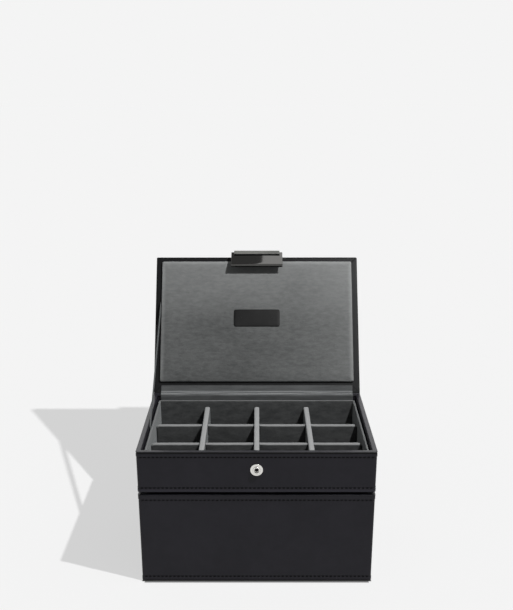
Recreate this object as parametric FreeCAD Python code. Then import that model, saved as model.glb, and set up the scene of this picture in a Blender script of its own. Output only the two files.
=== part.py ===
"""Cufflink box with drawer, in millimetres.

A leather-wrapped box in two storeys. The lower one is a case with a full-width drawer. The upper one
nests in the case's top: it holds a velvet tray with an egg-crate of dividers, and carries a hinged lid
with a padded lining, a ribbon stay and a closing tab with a press stud.

+X is to the right, +Y to the back and +Z up. The origin is the centre of the underside. The box is
drawn with its lid open against the ribbon stay and its closing tab hanging forward, folded.
"""
import FreeCAD
import Part
import math
import os

Vec = FreeCAD.Vector

# ---------------------------------------------------------------- whole box
BOX_WIDTH = 180.0
BOX_DEPTH = 125.0
FOOT_GAP = 1.0              # the felt under the base lifts the leather this far off the table
LOWER_HEIGHT = 74.5         # height of the drawer's front and of the case
UPPER_HEIGHT = 33.2         # height of the upper box's walls
STACK_GAP = 2.3             # open joint between the two storeys
NEST_DEPTH = 4.0            # each storey's contents stop this far below its rim

# ---------------------------------------------------------------- leather-wrapped boards
WALL = 4.0                  # board with its leather
CORNER_RADIUS = 2.0         # upright corners
EDGE_RADIUS = 1.0           # turned edges at the rims
INNER_EDGE_RADIUS = 0.6
FOOT_BEVEL = 0.7            # pressed edges at the feet
HEM_HEIGHT = 4.2            # doubled leather between an edge and its row of stitches
HEM_RISE = 0.25             # how far the doubled leather stands proud

# ---------------------------------------------------------------- case and drawer
CASE_BASE = 4.0
CASE_DECK = 3.0
PAD_INSET = 3.0             # felt under the base, from the walls' outer faces
RAIL_DEPTH = 4.0
DRAWER_FRONT = 6.0
DRAWER_SEAT_GAP = 0.3       # shut drawer front to the case's front edges
DRAWER_SIDE = 3.0
DRAWER_BOTTOM = 2.5
DRAWER_BOTTOM_RAISE = 1.0   # bottom board above the sides' lower edges
DRAWER_WALL_HEIGHT = 56.0
DRAWER_SIDE_CLEARANCE = 0.6
DRAWER_BACK_CLEARANCE = 2.0
DRAWER_PAD = 2.0
DRAWER_PAD_CLEARANCE = 0.3
DRAWER_EDGE_RADIUS = 1.0    # upper edges of the drawer's velvet-covered sides
GLIDE_THICKNESS = 0.8
GLIDE_WIDTH = 8.0
GLIDE_END_INSET = 6.0

# ---------------------------------------------------------------- upper box and tray
BOX_BASE = 3.0
NEST_CLEARANCE = 0.5        # round the plinth, inside the case's top
PLINTH_CORNER_RADIUS = 1.5
TRAY_GAP = 1.0              # between the leather walls and the velvet tray
TRAY_WALL = 1.5
TRAY_FLOOR = 1.8
TRAY_EDGE_RADIUS = 0.6
COLUMNS = 4
ROWS = 3
DIVIDER = 3.8
DIVIDER_TOP_BEVEL = 1.2
DIVIDER_END_RADIUS = 2.5
LONG_DIVIDER_DROP = 9.0     # below the box's rim
CROSS_DIVIDER_DROP = 11.5
LAP_CLEARANCE = 0.15        # each side of a divider in its slot

# ---------------------------------------------------------------- lid
LID_THICKNESS = 6.0
LID_SEAT_GAP = 0.3          # shut lid to the rim
LID_INNER_BEVEL = 0.5
LID_OPEN_ANGLE = 122.0      # from shut to the ribbon stay's limit
HINGE_LEATHER = 0.6
HINGE_SETBACK = 0.6         # from the fold line to each half of the hinge leather
HINGE_SIDE_INSET = 8.0
LINING_THICKNESS = 3.0
LINING_SIDE_INSET = 5.3
LINING_FRONT_INSET = 4.7
LINING_BACK_INSET = 10.0
LINING_CORNER_RADIUS = 2.0
LINING_EDGE_RADIUS = 1.2
PLAQUE_WIDTH = 40.5
PLAQUE_HEIGHT = 15.5
PLAQUE_THICKNESS = 1.0
PLAQUE_CORNER_RADIUS = 1.6
PLAQUE_FROM_HINGE = 67.5
VELVET_STRIP = 0.5          # thickness of the velvet over the hinge
VELVET_STRIP_TUCK = 6.0     # depth of its lower edge below the rim, behind the tray
VELVET_STRIP_CLEARANCE = 0.3
VELVET_ROLL_RADIUS = 2.8    # where it rolls over the rim, on its under side
VELVET_ROLL_HEIGHT = 1.7    # top of the roll above the rim, on its under side
VELVET_RISE_ANGLE = 15.0    # slope of the strip between the lid and the roll
RIBBON_WIDTH = 6.0
RIBBON_THICKNESS = 0.4
RIBBON_FROM_HINGE = 80.0    # where the ribbon is fixed on the lid
RIBBON_FROM_FRONT = 55.0    # where it is fixed in the box
RIBBON_TUCK = 4.0           # depth of its box end below the rim
RIBBON_CLEARANCE = 0.3      # to the lid's inner face

# ---------------------------------------------------------------- closing tab and press stud
TAB_WIDTH = 40.5
TAB_LEATHER = 1.6
TAB_ROOT_LENGTH = 16.0
TAB_ROOT_CORNER_RADIUS = 4.0
TAB_REACH = 1.5             # first bend line in front of the lid's edge
TAB_STANDOFF = 2.8          # snapped tab's leather to the box's front
TAB_KNUCKLE = 1.1           # from a bend line to the centre of a strap's rounded end
TAB_REST_LIFT = 5.0         # the relaxed tab stands this far off its snapped place, in degrees
TAB_FOLD_ANGLE = 67.0       # inward fold of the tab's end when the lid stands open
PLATE_WIDTH = 45.5
PLATE_LENGTH = 17.0
PLATE_THICKNESS = 1.3
PLATE_LEAD = 3.2            # second bend line to the plate's upper edge
PLATE_EDGE_RADIUS = 0.35
STUD_DROP = 14.5            # stud's centre below the rim
STUD_FLANGE_RADIUS = 4.8
STUD_FLANGE = 0.7
STUD_BEVEL = 0.4            # round the flange's edge and at the neck's foot
STUD_NECK_RADIUS = 2.6
STUD_HEAD_RADIUS = 3.1
STUD_HEIGHT = 2.0
STUD_MOUTH_RADIUS = 1.85
RIVET_RADIUS = 1.5
RIVET_BORE_RADIUS = 1.0
RIVET_FLANGE_RADIUS = 3.5
RIVET_FLANGE = 0.5
RIVET_CLEARANCE = 0.1
RIVET_REACH = 1.2           # how far the rivet's rolled end stands out of the wall
SOCKET_RADIUS = 5.2
SOCKET_CLEARANCE = 0.25     # round the stud's head in the socket, and over it
SOCKET_FLANGE_CLEARANCE = 0.3   # socket's mouth to the stud's flange
SOCKET_LIP_BEVEL = 0.4

# ---------------------------------------------------------------- derived places
HALF_W = BOX_WIDTH / 2
HALF_D = BOX_DEPTH / 2
FRONT = -HALF_D
BACK = HALF_D
FOOT = FOOT_GAP
CASE_TOP = FOOT + LOWER_HEIGHT
UPPER_FOOT = CASE_TOP + STACK_GAP
RIM = UPPER_FOOT + UPPER_HEIGHT
INNER_HALF_W = HALF_W - WALL
INNER_HALF_D = HALF_D - WALL
MITRE = 2 * WALL            # the mitre planes are cut a little further in than the walls

CASE_FRONT = FRONT + DRAWER_FRONT + DRAWER_SEAT_GAP
CASE_FLOOR = FOOT + CASE_BASE
DECK_TOP = CASE_TOP - NEST_DEPTH
DECK_UNDER = DECK_TOP - CASE_DECK
RAIL_BACK = CASE_FRONT + RAIL_DEPTH
GLIDE_TOP = CASE_FLOOR + GLIDE_THICKNESS
DRAWER_HALF_W = INNER_HALF_W - DRAWER_SIDE_CLEARANCE
DRAWER_IN_FRONT = FRONT + DRAWER_FRONT
DRAWER_BACK = INNER_HALF_D - DRAWER_BACK_CLEARANCE
DRAWER_WALL_TOP = GLIDE_TOP + DRAWER_WALL_HEIGHT
DRAWER_FLOOR = GLIDE_TOP + DRAWER_BOTTOM_RAISE + DRAWER_BOTTOM

BOX_FLOOR = UPPER_FOOT + BOX_BASE
TRAY_OUT_W = INNER_HALF_W - TRAY_GAP
TRAY_OUT_D = INNER_HALF_D - TRAY_GAP
TRAY_IN_W = TRAY_OUT_W - TRAY_WALL
TRAY_IN_D = TRAY_OUT_D - TRAY_WALL
TRAY_TOP = RIM - NEST_DEPTH
TRAY_GROUND = BOX_FLOOR + TRAY_FLOOR
LONG_TOP = RIM - LONG_DIVIDER_DROP
CROSS_TOP = RIM - CROSS_DIVIDER_DROP
COLUMN_PITCH = (2 * TRAY_IN_W + DIVIDER) / COLUMNS
ROW_PITCH = (2 * TRAY_IN_D + DIVIDER) / ROWS
LAP = (TRAY_GROUND + CROSS_TOP) / 2

LID_UNDER = RIM + LID_SEAT_GAP
LID_TOP = LID_UNDER + LID_THICKNESS
HINGE = Vec(0, BACK + HINGE_LEATHER / 2, RIM + LID_SEAT_GAP / 2)
LINING_FACE = LID_UNDER - LINING_THICKNESS
STUD_Z = RIM - STUD_DROP
PLATE_TOP = STUD_Z + PLATE_LENGTH / 2
PLATE_FOOT = STUD_Z - PLATE_LENGTH / 2
TONGUE_BACK = FRONT - TAB_STANDOFF
TONGUE_FACE = TONGUE_BACK - TAB_LEATHER
LIFT_LINE = Vec(0, FRONT - TAB_REACH, LID_TOP + TAB_LEATHER / 2)
FOLD_LINE = Vec(0, (TONGUE_BACK + TONGUE_FACE) / 2, PLATE_TOP + PLATE_LEAD)

X_AXIS = Vec(1, 0, 0)
Y_AXIS = Vec(0, 1, 0)
Z_AXIS = Vec(0, 0, 1)
NEAR = 1e-6                 # two sizes this close are the same


# ---------------------------------------------------------------- helpers
def block(x0, x1, y0, y1, z0, z1):
    """A box between two corners."""
    return Part.makeBox(x1 - x0, y1 - y0, z1 - z0, Vec(x0, y0, z0))


def rounded_outline(corners):
    """A closed outline of straight runs, with an arc at each corner that has a radius.

    corners lists (point, radius). Runs that two neighbouring arcs use up are left out.
    """
    ends = []
    for number, (point, radius) in enumerate(corners):
        to_last = (corners[number - 1][0] - point).normalize()
        to_next = (corners[(number + 1) % len(corners)][0] - point).normalize()
        half_angle = to_last.getAngle(to_next) / 2
        cut = radius / math.tan(half_angle)
        inward = (to_last + to_next).normalize()
        middle = point + inward * (radius / math.sin(half_angle) - radius)
        ends.append((point + to_last * cut, middle, point + to_next * cut, radius))
    edges = []
    for number, (start, middle, end, radius) in enumerate(ends):
        if radius > NEAR:
            edges.append(Part.Arc(start, middle, end).toShape())
        following = ends[(number + 1) % len(ends)][0]
        if end.distanceToPoint(following) > NEAR:
            edges.append(Part.LineSegment(end, following).toShape())
    return Part.Wire(edges)


def bevelled(corners):
    """An outline with each corner that has a bevel cut back by that much along both its runs.

    corners lists (point, bevel). The result lists (point, 0), for rounded_outline.
    """
    points = []
    for number, (point, bevel) in enumerate(corners):
        to_last = (corners[number - 1][0] - point).normalize()
        to_next = (corners[(number + 1) % len(corners)][0] - point).normalize()
        if bevel > NEAR:
            points += [(point + to_last * bevel, 0), (point + to_next * bevel, 0)]
        else:
            points.append((point, 0))
    return points


def extrude_outline(corners, direction):
    """A solid from a closed outline carried along a direction."""
    return Part.Face(rounded_outline(corners)).extrude(direction)


def edges_where(shape, wanted):
    """The edges whose bounding box passes a test."""
    return [edge for edge in shape.Edges if wanted(edge.BoundBox)]


def level_edges(shape, z):
    """The edges that lie flat at one height."""
    return edges_where(shape, lambda b: abs(b.ZMin - z) < NEAR and abs(b.ZMax - z) < NEAR)


def long_level_edges(shape, z, length):
    """The flat edges at one height that are longer than a length."""
    return [edge for edge in level_edges(shape, z) if edge.Length > length]


def upright_block(half_w, y0, y1, z0, z1, radius):
    """A box centred on X with rounded upright corners."""
    points = [Vec(-half_w, y0, z0), Vec(half_w, y0, z0), Vec(half_w, y1, z0), Vec(-half_w, y1, z0)]
    return extrude_outline([(point, radius) for point in points], Z_AXIS * (z1 - z0))


def wrapped_storey(z0, z1):
    """A storey's outer form: rounded corners and rim, with a proud hem at its top and its foot."""
    solid = upright_block(HALF_W, FRONT, BACK, z0, z1, CORNER_RADIUS)
    solid = solid.makeFillet(EDGE_RADIUS, level_edges(solid, z1))
    solid = solid.makeChamfer(FOOT_BEVEL, level_edges(solid, z0))
    low, high = z0 + HEM_HEIGHT, z1 - HEM_HEIGHT
    field = upright_block(HALF_W - HEM_RISE, FRONT + HEM_RISE, BACK - HEM_RISE, low, high,
                          CORNER_RADIUS - HEM_RISE)
    around = block(-BOX_WIDTH, BOX_WIDTH, -BOX_DEPTH, BOX_DEPTH, low, high)
    return solid.cut(around.cut(field))


def wrapped_walls(z0, z1):
    """The four walls of a storey as one ring, with a rounded inner rim."""
    inside = block(-INNER_HALF_W, INNER_HALF_W, -INNER_HALF_D, INNER_HALF_D, z0, z1)
    rim = [edge.CenterOfMass for edge in level_edges(inside, z1)]
    ring = wrapped_storey(z0, z1).cut(inside)
    inner_rim = [edge for edge in level_edges(ring, z1)
                 if min(edge.CenterOfMass.distanceToPoint(point) for point in rim) < NEAR]
    return ring.makeFillet(INNER_EDGE_RADIUS, inner_rim)


def mitred(ring, side):
    """One wall of a ring, cut at 45 degrees at its ends. side is front, back, left or right."""
    w, d = HALF_W, HALF_D
    outlines = {
        "front": [(-w, -d), (w, -d), (w - MITRE, -d + MITRE), (-w + MITRE, -d + MITRE)],
        "back": [(-w, d), (w, d), (w - MITRE, d - MITRE), (-w + MITRE, d - MITRE)],
        "left": [(-w, -d), (-w, d), (-w + MITRE, d - MITRE), (-w + MITRE, -d + MITRE)],
        "right": [(w, -d), (w, d), (w - MITRE, d - MITRE), (w - MITRE, -d + MITRE)],
    }
    bounds = ring.BoundBox
    corners = [(Vec(x, y, bounds.ZMin), 0) for x, y in outlines[side]]
    return ring.common(extrude_outline(corners, Z_AXIS * bounds.ZLength))


def turned_piece(profile, centre):
    """A piece turned about a line along Y. The profile lists (radius, distance in front of the
    centre, bevel)."""
    corners = [(Vec(radius, -forward, 0), bevel) for radius, forward, bevel in profile]
    solid = Part.Face(rounded_outline(bevelled(corners))).revolve(Vec(0, 0, 0), Y_AXIS, 360)
    solid.translate(centre)
    return solid


def turned(shape, centre, angle):
    """A copy turned about a line along X."""
    copy = shape.copy()
    copy.rotate(centre, X_AXIS, angle)
    return copy


def opened(shape):
    """Takes a piece drawn on the shut lid to its place on the open one."""
    return turned(shape, HINGE, -LID_OPEN_ANGLE)


def tab_relaxed(shape):
    """Takes a piece drawn on the snapped tab to where the relaxed tab has it on the open lid."""
    return opened(turned(shape, LIFT_LINE, -TAB_REST_LIFT))


def tab_end_hanging(shape):
    """Takes a piece drawn on the snapped tab's end to its place on the open lid."""
    return tab_relaxed(turned(shape, FOLD_LINE, TAB_FOLD_ANGLE))


def open_lid_directions():
    """Up the open lid from its hinge, and out of its inner face."""
    angle = math.radians(LID_OPEN_ANGLE)
    up = Vec(0, -math.cos(angle), math.sin(angle))
    out = Vec(0, -math.sin(angle), -math.cos(angle))
    return up, out


def strap(start, end, width, thickness):
    """A flat strap across X, with half-round ends centred on two points of the YZ plane."""
    along = (end - start).normalize() * (thickness / 2)
    side = Vec(0, -along.z, along.y)
    corners = [start - along + side, end + along + side, end + along - side, start - along - side]
    solid = extrude_outline([(point, thickness / 2) for point in corners], X_AXIS * width)
    solid.translate(X_AXIS * (-width / 2))
    return solid


# ---------------------------------------------------------------- drawer case
def case_pieces():
    storey = wrapped_walls(FOOT, CASE_TOP)
    behind = block(-HALF_W, HALF_W, CASE_FRONT, BACK, FOOT, CASE_TOP)
    glide_y0 = CASE_FRONT + GLIDE_END_INSET
    glide_y1 = INNER_HALF_D - GLIDE_END_INSET
    glides = [block(x, x + GLIDE_WIDTH, glide_y0, glide_y1, CASE_FLOOR, GLIDE_TOP)
              for x in (-DRAWER_HALF_W, DRAWER_HALF_W - GLIDE_WIDTH)]
    return {
        "case_side_left": mitred(storey, "left").common(behind),
        "case_side_right": mitred(storey, "right").common(behind),
        "case_back": mitred(storey, "back"),
        "case_base": block(-INNER_HALF_W, INNER_HALF_W, CASE_FRONT, INNER_HALF_D, FOOT, CASE_FLOOR),
        "case_deck": block(-INNER_HALF_W, INNER_HALF_W, RAIL_BACK, INNER_HALF_D, DECK_UNDER, DECK_TOP),
        "case_front_rail": case_front_rail(),
        "drawer_glides": Part.makeCompound(glides),
        "base_pad": upright_block(HALF_W - PAD_INSET, CASE_FRONT + PAD_INSET, BACK - PAD_INSET,
                                  0, FOOT, CORNER_RADIUS),
    }


def case_front_rail():
    """The rail above the drawer's opening, rounded along its top."""
    rail = block(-INNER_HALF_W, INNER_HALF_W, CASE_FRONT, RAIL_BACK, DECK_UNDER, CASE_TOP)
    return rail.makeFillet(EDGE_RADIUS, long_level_edges(rail, CASE_TOP, RAIL_DEPTH))


# ---------------------------------------------------------------- drawer
def drawer_wall(x0, x1, y0, y1):
    """A velvet-covered board of the drawer, rounded along its upper long edges."""
    board = block(x0, x1, y0, y1, GLIDE_TOP, DRAWER_WALL_TOP)
    return board.makeFillet(DRAWER_EDGE_RADIUS, long_level_edges(board, DRAWER_WALL_TOP, DRAWER_SIDE))


def drawer_pieces():
    front = wrapped_storey(FOOT, CASE_TOP).common(
        block(-HALF_W, HALF_W, FRONT, DRAWER_IN_FRONT, FOOT, CASE_TOP))
    inner = DRAWER_HALF_W - DRAWER_SIDE
    inner_back = DRAWER_BACK - DRAWER_SIDE
    bottom_under = GLIDE_TOP + DRAWER_BOTTOM_RAISE
    edge = DRAWER_PAD_CLEARANCE
    pad = block(-inner + edge, inner - edge, DRAWER_IN_FRONT + edge, inner_back - edge,
                DRAWER_FLOOR, DRAWER_FLOOR + DRAWER_PAD)
    return {
        "drawer_front": front,
        "drawer_side_left": drawer_wall(-DRAWER_HALF_W, -inner, DRAWER_IN_FRONT, DRAWER_BACK),
        "drawer_side_right": drawer_wall(inner, DRAWER_HALF_W, DRAWER_IN_FRONT, DRAWER_BACK),
        "drawer_back": drawer_wall(-inner, inner, inner_back, DRAWER_BACK),
        "drawer_bottom": block(-inner, inner, DRAWER_IN_FRONT, inner_back, bottom_under, DRAWER_FLOOR),
        "drawer_pad": pad,
    }


# ---------------------------------------------------------------- upper box
def upper_box_pieces():
    storey = wrapped_walls(UPPER_FOOT, RIM)
    bore = Part.makeCylinder(RIVET_RADIUS + RIVET_CLEARANCE, 2 * WALL,
                             Vec(0, FRONT - WALL / 2, STUD_Z), Y_AXIS)
    nest = NEST_CLEARANCE
    pieces = {"box_wall_" + side: mitred(storey, side) for side in ("back", "left", "right")}
    pieces["box_wall_front"] = mitred(storey, "front").cut(bore)
    pieces["box_base"] = block(-INNER_HALF_W, INNER_HALF_W, -INNER_HALF_D, INNER_HALF_D,
                               UPPER_FOOT, BOX_FLOOR)
    pieces["box_plinth"] = upright_block(INNER_HALF_W - nest, RAIL_BACK + nest, INNER_HALF_D - nest,
                                         DECK_TOP, UPPER_FOOT, PLINTH_CORNER_RADIUS)
    return pieces


def tray_wall(x0, x1, y0, y1):
    """A velvet-covered wall of the tray, rounded along its upper long edges."""
    wall = block(x0, x1, y0, y1, BOX_FLOOR, TRAY_TOP)
    return wall.makeFillet(TRAY_EDGE_RADIUS, long_level_edges(wall, TRAY_TOP, TRAY_WALL))


def tray_pieces():
    pieces = {
        "tray_floor": block(-TRAY_IN_W, TRAY_IN_W, -TRAY_IN_D, TRAY_IN_D, BOX_FLOOR, TRAY_GROUND),
        "tray_wall_front": tray_wall(-TRAY_OUT_W, TRAY_OUT_W, -TRAY_OUT_D, -TRAY_IN_D),
        "tray_wall_back": tray_wall(-TRAY_OUT_W, TRAY_OUT_W, TRAY_IN_D, TRAY_OUT_D),
        "tray_wall_left": tray_wall(-TRAY_OUT_W, -TRAY_IN_W, -TRAY_IN_D, TRAY_IN_D),
        "tray_wall_right": tray_wall(TRAY_IN_W, TRAY_OUT_W, -TRAY_IN_D, TRAY_IN_D),
    }
    for number in range(1, COLUMNS):
        pieces["divider_long_%d" % number] = long_divider(number)
    for number in range(1, ROWS):
        pieces["divider_cross_%d" % number] = cross_divider(number)
    return pieces


def column_line(number):
    """X of a fore-and-aft divider's middle."""
    return -TRAY_IN_W - DIVIDER / 2 + number * COLUMN_PITCH


def row_line(number):
    """Y of a cross divider's middle, counted from the front."""
    return -TRAY_IN_D - DIVIDER / 2 + number * ROW_PITCH


def divider_blank(half_length, top):
    """A divider along Y on the tray's floor: rounded upper ends and bevels along its top."""
    left = -DIVIDER / 2
    corners = [
        (Vec(left, -half_length, TRAY_GROUND), 0),
        (Vec(left, half_length, TRAY_GROUND), 0),
        (Vec(left, half_length, top), DIVIDER_END_RADIUS),
        (Vec(left, -half_length, top), DIVIDER_END_RADIUS),
    ]
    solid = extrude_outline(corners, X_AXIS * DIVIDER)
    upper = edges_where(solid, lambda b: b.XLength < NEAR and b.ZMax > top - NEAR)
    return solid.makeChamfer(DIVIDER_TOP_BEVEL, upper)


def long_divider(number):
    """Runs front to back. Slots in its lower half let the cross dividers through."""
    solid = divider_blank(TRAY_IN_D, LONG_TOP)
    half_slot = DIVIDER / 2 + LAP_CLEARANCE
    for row in range(1, ROWS):
        y = row_line(row)
        solid = solid.cut(block(-DIVIDER, DIVIDER, y - half_slot, y + half_slot,
                                TRAY_GROUND, LAP + LAP_CLEARANCE))
    solid.translate(X_AXIS * column_line(number))
    return solid


def cross_divider(number):
    """Runs side to side, lower than the long ones, with a slot in its top for each of them."""
    solid = divider_blank(TRAY_IN_W, CROSS_TOP)
    solid.rotate(Vec(0, 0, 0), Z_AXIS, 90)
    half_slot = DIVIDER / 2 + LAP_CLEARANCE
    for column in range(1, COLUMNS):
        x = column_line(column)
        solid = solid.cut(block(x - half_slot, x + half_slot, -DIVIDER, DIVIDER, LAP, CROSS_TOP))
    solid.translate(Y_AXIS * row_line(number))
    return solid


# ---------------------------------------------------------------- lid
def lid_pieces():
    board = upright_block(HALF_W, FRONT, BACK, LID_UNDER, LID_TOP, CORNER_RADIUS)
    board = board.makeFillet(EDGE_RADIUS, level_edges(board, LID_TOP))
    board = board.makeChamfer(LID_INNER_BEVEL, level_edges(board, LID_UNDER))
    lining = upright_block(HALF_W - LINING_SIDE_INSET, FRONT + LINING_FRONT_INSET,
                           BACK - LINING_BACK_INSET, LINING_FACE, LID_UNDER, LINING_CORNER_RADIUS)
    lining = lining.makeFillet(LINING_EDGE_RADIUS, level_edges(lining, LINING_FACE))
    plaque_y = HINGE.y - PLAQUE_FROM_HINGE
    plaque = upright_block(PLAQUE_WIDTH / 2, plaque_y - PLAQUE_HEIGHT / 2, plaque_y + PLAQUE_HEIGHT / 2,
                           LINING_FACE - PLAQUE_THICKNESS, LINING_FACE, PLAQUE_CORNER_RADIUS)
    pieces = {"lid_board": board, "lid_lining": lining, "lid_plaque": plaque}
    return {name: opened(shape) for name, shape in pieces.items()}


def hinge_pieces():
    """The leather hinge, split at its fold line into a half on the box and a half on the lid."""
    half_w = HALF_W - HINGE_SIDE_INSET
    outside = BACK + HINGE_LEATHER
    on_box = block(-half_w, half_w, BACK, outside, RIM - HEM_HEIGHT, HINGE.z - HINGE_SETBACK)
    on_lid = block(-half_w, half_w, BACK, outside, HINGE.z + HINGE_SETBACK, LID_TOP - EDGE_RADIUS)
    return {"hinge_leather_box": on_box, "hinge_leather_lid": opened(on_lid)}


def hinge_lining():
    """The velvet strip: down the open lid, over the back rim in a roll, and down behind the tray.

    Its under side is drawn as three straight runs with two arcs between them: the valley arc joins
    the run down the lid to the run that rises to the roll, and the roll ends heading straight down.
    """
    up, out = open_lid_directions()
    rise = math.radians(VELVET_RISE_ANGLE)
    lid_line = HINGE + out * (VELVET_STRIP_CLEARANCE - LID_SEAT_GAP / 2)
    start = lid_line + up * (LINING_BACK_INSET - VELVET_STRIP_CLEARANCE)
    down_y = INNER_HALF_D - (TRAY_GAP - VELVET_STRIP) / 2
    roll = Vec(0, down_y + VELVET_ROLL_RADIUS, RIM + VELVET_ROLL_HEIGHT - VELVET_ROLL_RADIUS)
    off_roll = Vec(0, math.sin(rise), math.cos(rise))
    crest = roll + off_roll * VELVET_ROLL_RADIUS
    valley_radius = (crest - lid_line).dot(out) / (1 - off_roll.dot(out))
    valley = crest + off_roll * valley_radius
    valley_start = valley - out * valley_radius
    valley_middle = valley - (out + off_roll).normalize() * valley_radius
    roll_middle = roll + (off_roll - Y_AXIS).normalize() * VELVET_ROLL_RADIUS
    brow = roll - Y_AXIS * VELVET_ROLL_RADIUS
    foot = Vec(0, down_y, RIM - VELVET_STRIP_TUCK)
    under_side = Part.Wire([
        Part.LineSegment(start, valley_start).toShape(),
        Part.Arc(valley_start, valley_middle, crest).toShape(),
        Part.Arc(crest, roll_middle, brow).toShape(),
        Part.LineSegment(brow, foot).toShape(),
    ])
    section = under_side.makeOffset2D(VELVET_STRIP, 2, True, True)
    strip = section.extrude(X_AXIS * (2 * TRAY_IN_W))
    strip.translate(X_AXIS * -TRAY_IN_W)
    return strip


def stay_ribbon():
    """The ribbon that stops the lid: edge on to the front, from the lid down into the gap on the left."""
    up, out = open_lid_directions()
    on_lid = HINGE + up * RIBBON_FROM_HINGE + out * (RIBBON_CLEARANCE - LID_SEAT_GAP / 2)
    in_box = Vec(0, FRONT + RIBBON_FROM_FRONT, RIM - RIBBON_TUCK)
    along = (on_lid - in_box).normalize()
    side = Vec(0, -along.z, along.y) * (RIBBON_WIDTH / 2)
    slant = up * (side.Length / along.cross(up).Length)
    left = X_AXIS * (-INNER_HALF_W + (TRAY_GAP - RIBBON_THICKNESS) / 2)
    corners = [in_box + side, in_box - side, on_lid - slant, on_lid + slant]
    return extrude_outline([(point + left, 0) for point in corners], X_AXIS * RIBBON_THICKNESS)


# ---------------------------------------------------------------- closing tab
def tab_root():
    """The sewn end on the lid's outer face, with rounded rear corners and a half-round front."""
    knuckle_y = LIFT_LINE.y + TAB_KNUCKLE
    half = TAB_WIDTH / 2
    tail = extrude_outline([
        (Vec(-half, knuckle_y, LID_TOP), 0),
        (Vec(half, knuckle_y, LID_TOP), 0),
        (Vec(half, FRONT + TAB_ROOT_LENGTH, LID_TOP), TAB_ROOT_CORNER_RADIUS),
        (Vec(-half, FRONT + TAB_ROOT_LENGTH, LID_TOP), TAB_ROOT_CORNER_RADIUS),
    ], Z_AXIS * TAB_LEATHER)
    nose = Part.makeCylinder(TAB_LEATHER / 2, TAB_WIDTH, Vec(-half, knuckle_y, LIFT_LINE.z), X_AXIS)
    return opened(tail.fuse(nose).removeSplitter())


def tab_strap():
    """The free leather between the lid's edge and the metal plate."""
    along = (FOLD_LINE - LIFT_LINE).normalize()
    return tab_relaxed(strap(LIFT_LINE + along * TAB_KNUCKLE, FOLD_LINE - along * TAB_KNUCKLE,
                             TAB_WIDTH, TAB_LEATHER))


def tab_end_pieces():
    """The plate, the leather tongue in it and the socket, drawn snapped on the box's front."""
    tongue_foot = PLATE_FOOT + PLATE_THICKNESS + TAB_LEATHER / 2
    tongue = strap(FOLD_LINE - Z_AXIS * TAB_KNUCKLE, Vec(0, FOLD_LINE.y, tongue_foot),
                   TAB_WIDTH, TAB_LEATHER)
    tongue = tongue.cut(Part.makeCylinder(RIVET_RADIUS + RIVET_CLEARANCE, 2 * TAB_LEATHER,
                                          Vec(0, TONGUE_FACE - TAB_LEATHER / 2, STUD_Z), Y_AXIS))
    pieces = {"tab_tongue": tongue, "tab_plate": tab_plate(), "snap_socket": snap_socket()}
    return {name: tab_end_hanging(shape) for name, shape in pieces.items()}


def tab_plate():
    """The metal plate: its lower edge is turned back under the tongue's end."""
    face_y = TONGUE_FACE - PLATE_THICKNESS
    lip_top = PLATE_FOOT + PLATE_THICKNESS
    section = [
        (Vec(0, face_y, PLATE_FOOT), PLATE_EDGE_RADIUS),
        (Vec(0, TONGUE_BACK, PLATE_FOOT), PLATE_EDGE_RADIUS),
        (Vec(0, TONGUE_BACK, lip_top), PLATE_EDGE_RADIUS),
        (Vec(0, TONGUE_FACE, lip_top), 0),
        (Vec(0, TONGUE_FACE, PLATE_TOP), 0),
        (Vec(0, face_y, PLATE_TOP), PLATE_EDGE_RADIUS),
    ]
    plate = extrude_outline(section, X_AXIS * PLATE_WIDTH)
    plate.translate(X_AXIS * (-PLATE_WIDTH / 2))
    return plate


# ---------------------------------------------------------------- press stud
def stud():
    """The turned stud: a domed flange, a waisted neck and a beaded hollow head."""
    rivet_seat = RIVET_REACH + RIVET_CLEARANCE
    bead = (STUD_HEAD_RADIUS - STUD_MOUTH_RADIUS) / 3
    bore = RIVET_RADIUS + RIVET_CLEARANCE
    profile = [
        (bore, 0, 0),
        (STUD_FLANGE_RADIUS, 0, 0),
        (STUD_FLANGE_RADIUS, STUD_FLANGE, STUD_BEVEL),
        (STUD_NECK_RADIUS, STUD_FLANGE, STUD_BEVEL),
        (STUD_HEAD_RADIUS, STUD_HEIGHT, bead),
        (STUD_MOUTH_RADIUS, STUD_HEIGHT, bead),
        (STUD_MOUTH_RADIUS, rivet_seat, 0),
        (bore, rivet_seat, 0),
    ]
    return turned_piece(profile, Vec(0, FRONT, STUD_Z))


def stud_rivet():
    """The hollow rivet through the wall: a flange inside the box and a shank up the stud's bore."""
    inside = -WALL
    rolled = (RIVET_RADIUS - RIVET_BORE_RADIUS) / 3
    profile = [
        (RIVET_BORE_RADIUS, inside - RIVET_FLANGE, 0),
        (RIVET_FLANGE_RADIUS, inside - RIVET_FLANGE, 0),
        (RIVET_FLANGE_RADIUS, inside, 0),
        (RIVET_RADIUS, inside, 0),
        (RIVET_RADIUS, RIVET_REACH, rolled),
        (RIVET_BORE_RADIUS, RIVET_REACH, rolled),
    ]
    return turned_piece(profile, Vec(0, FRONT, STUD_Z))


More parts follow.
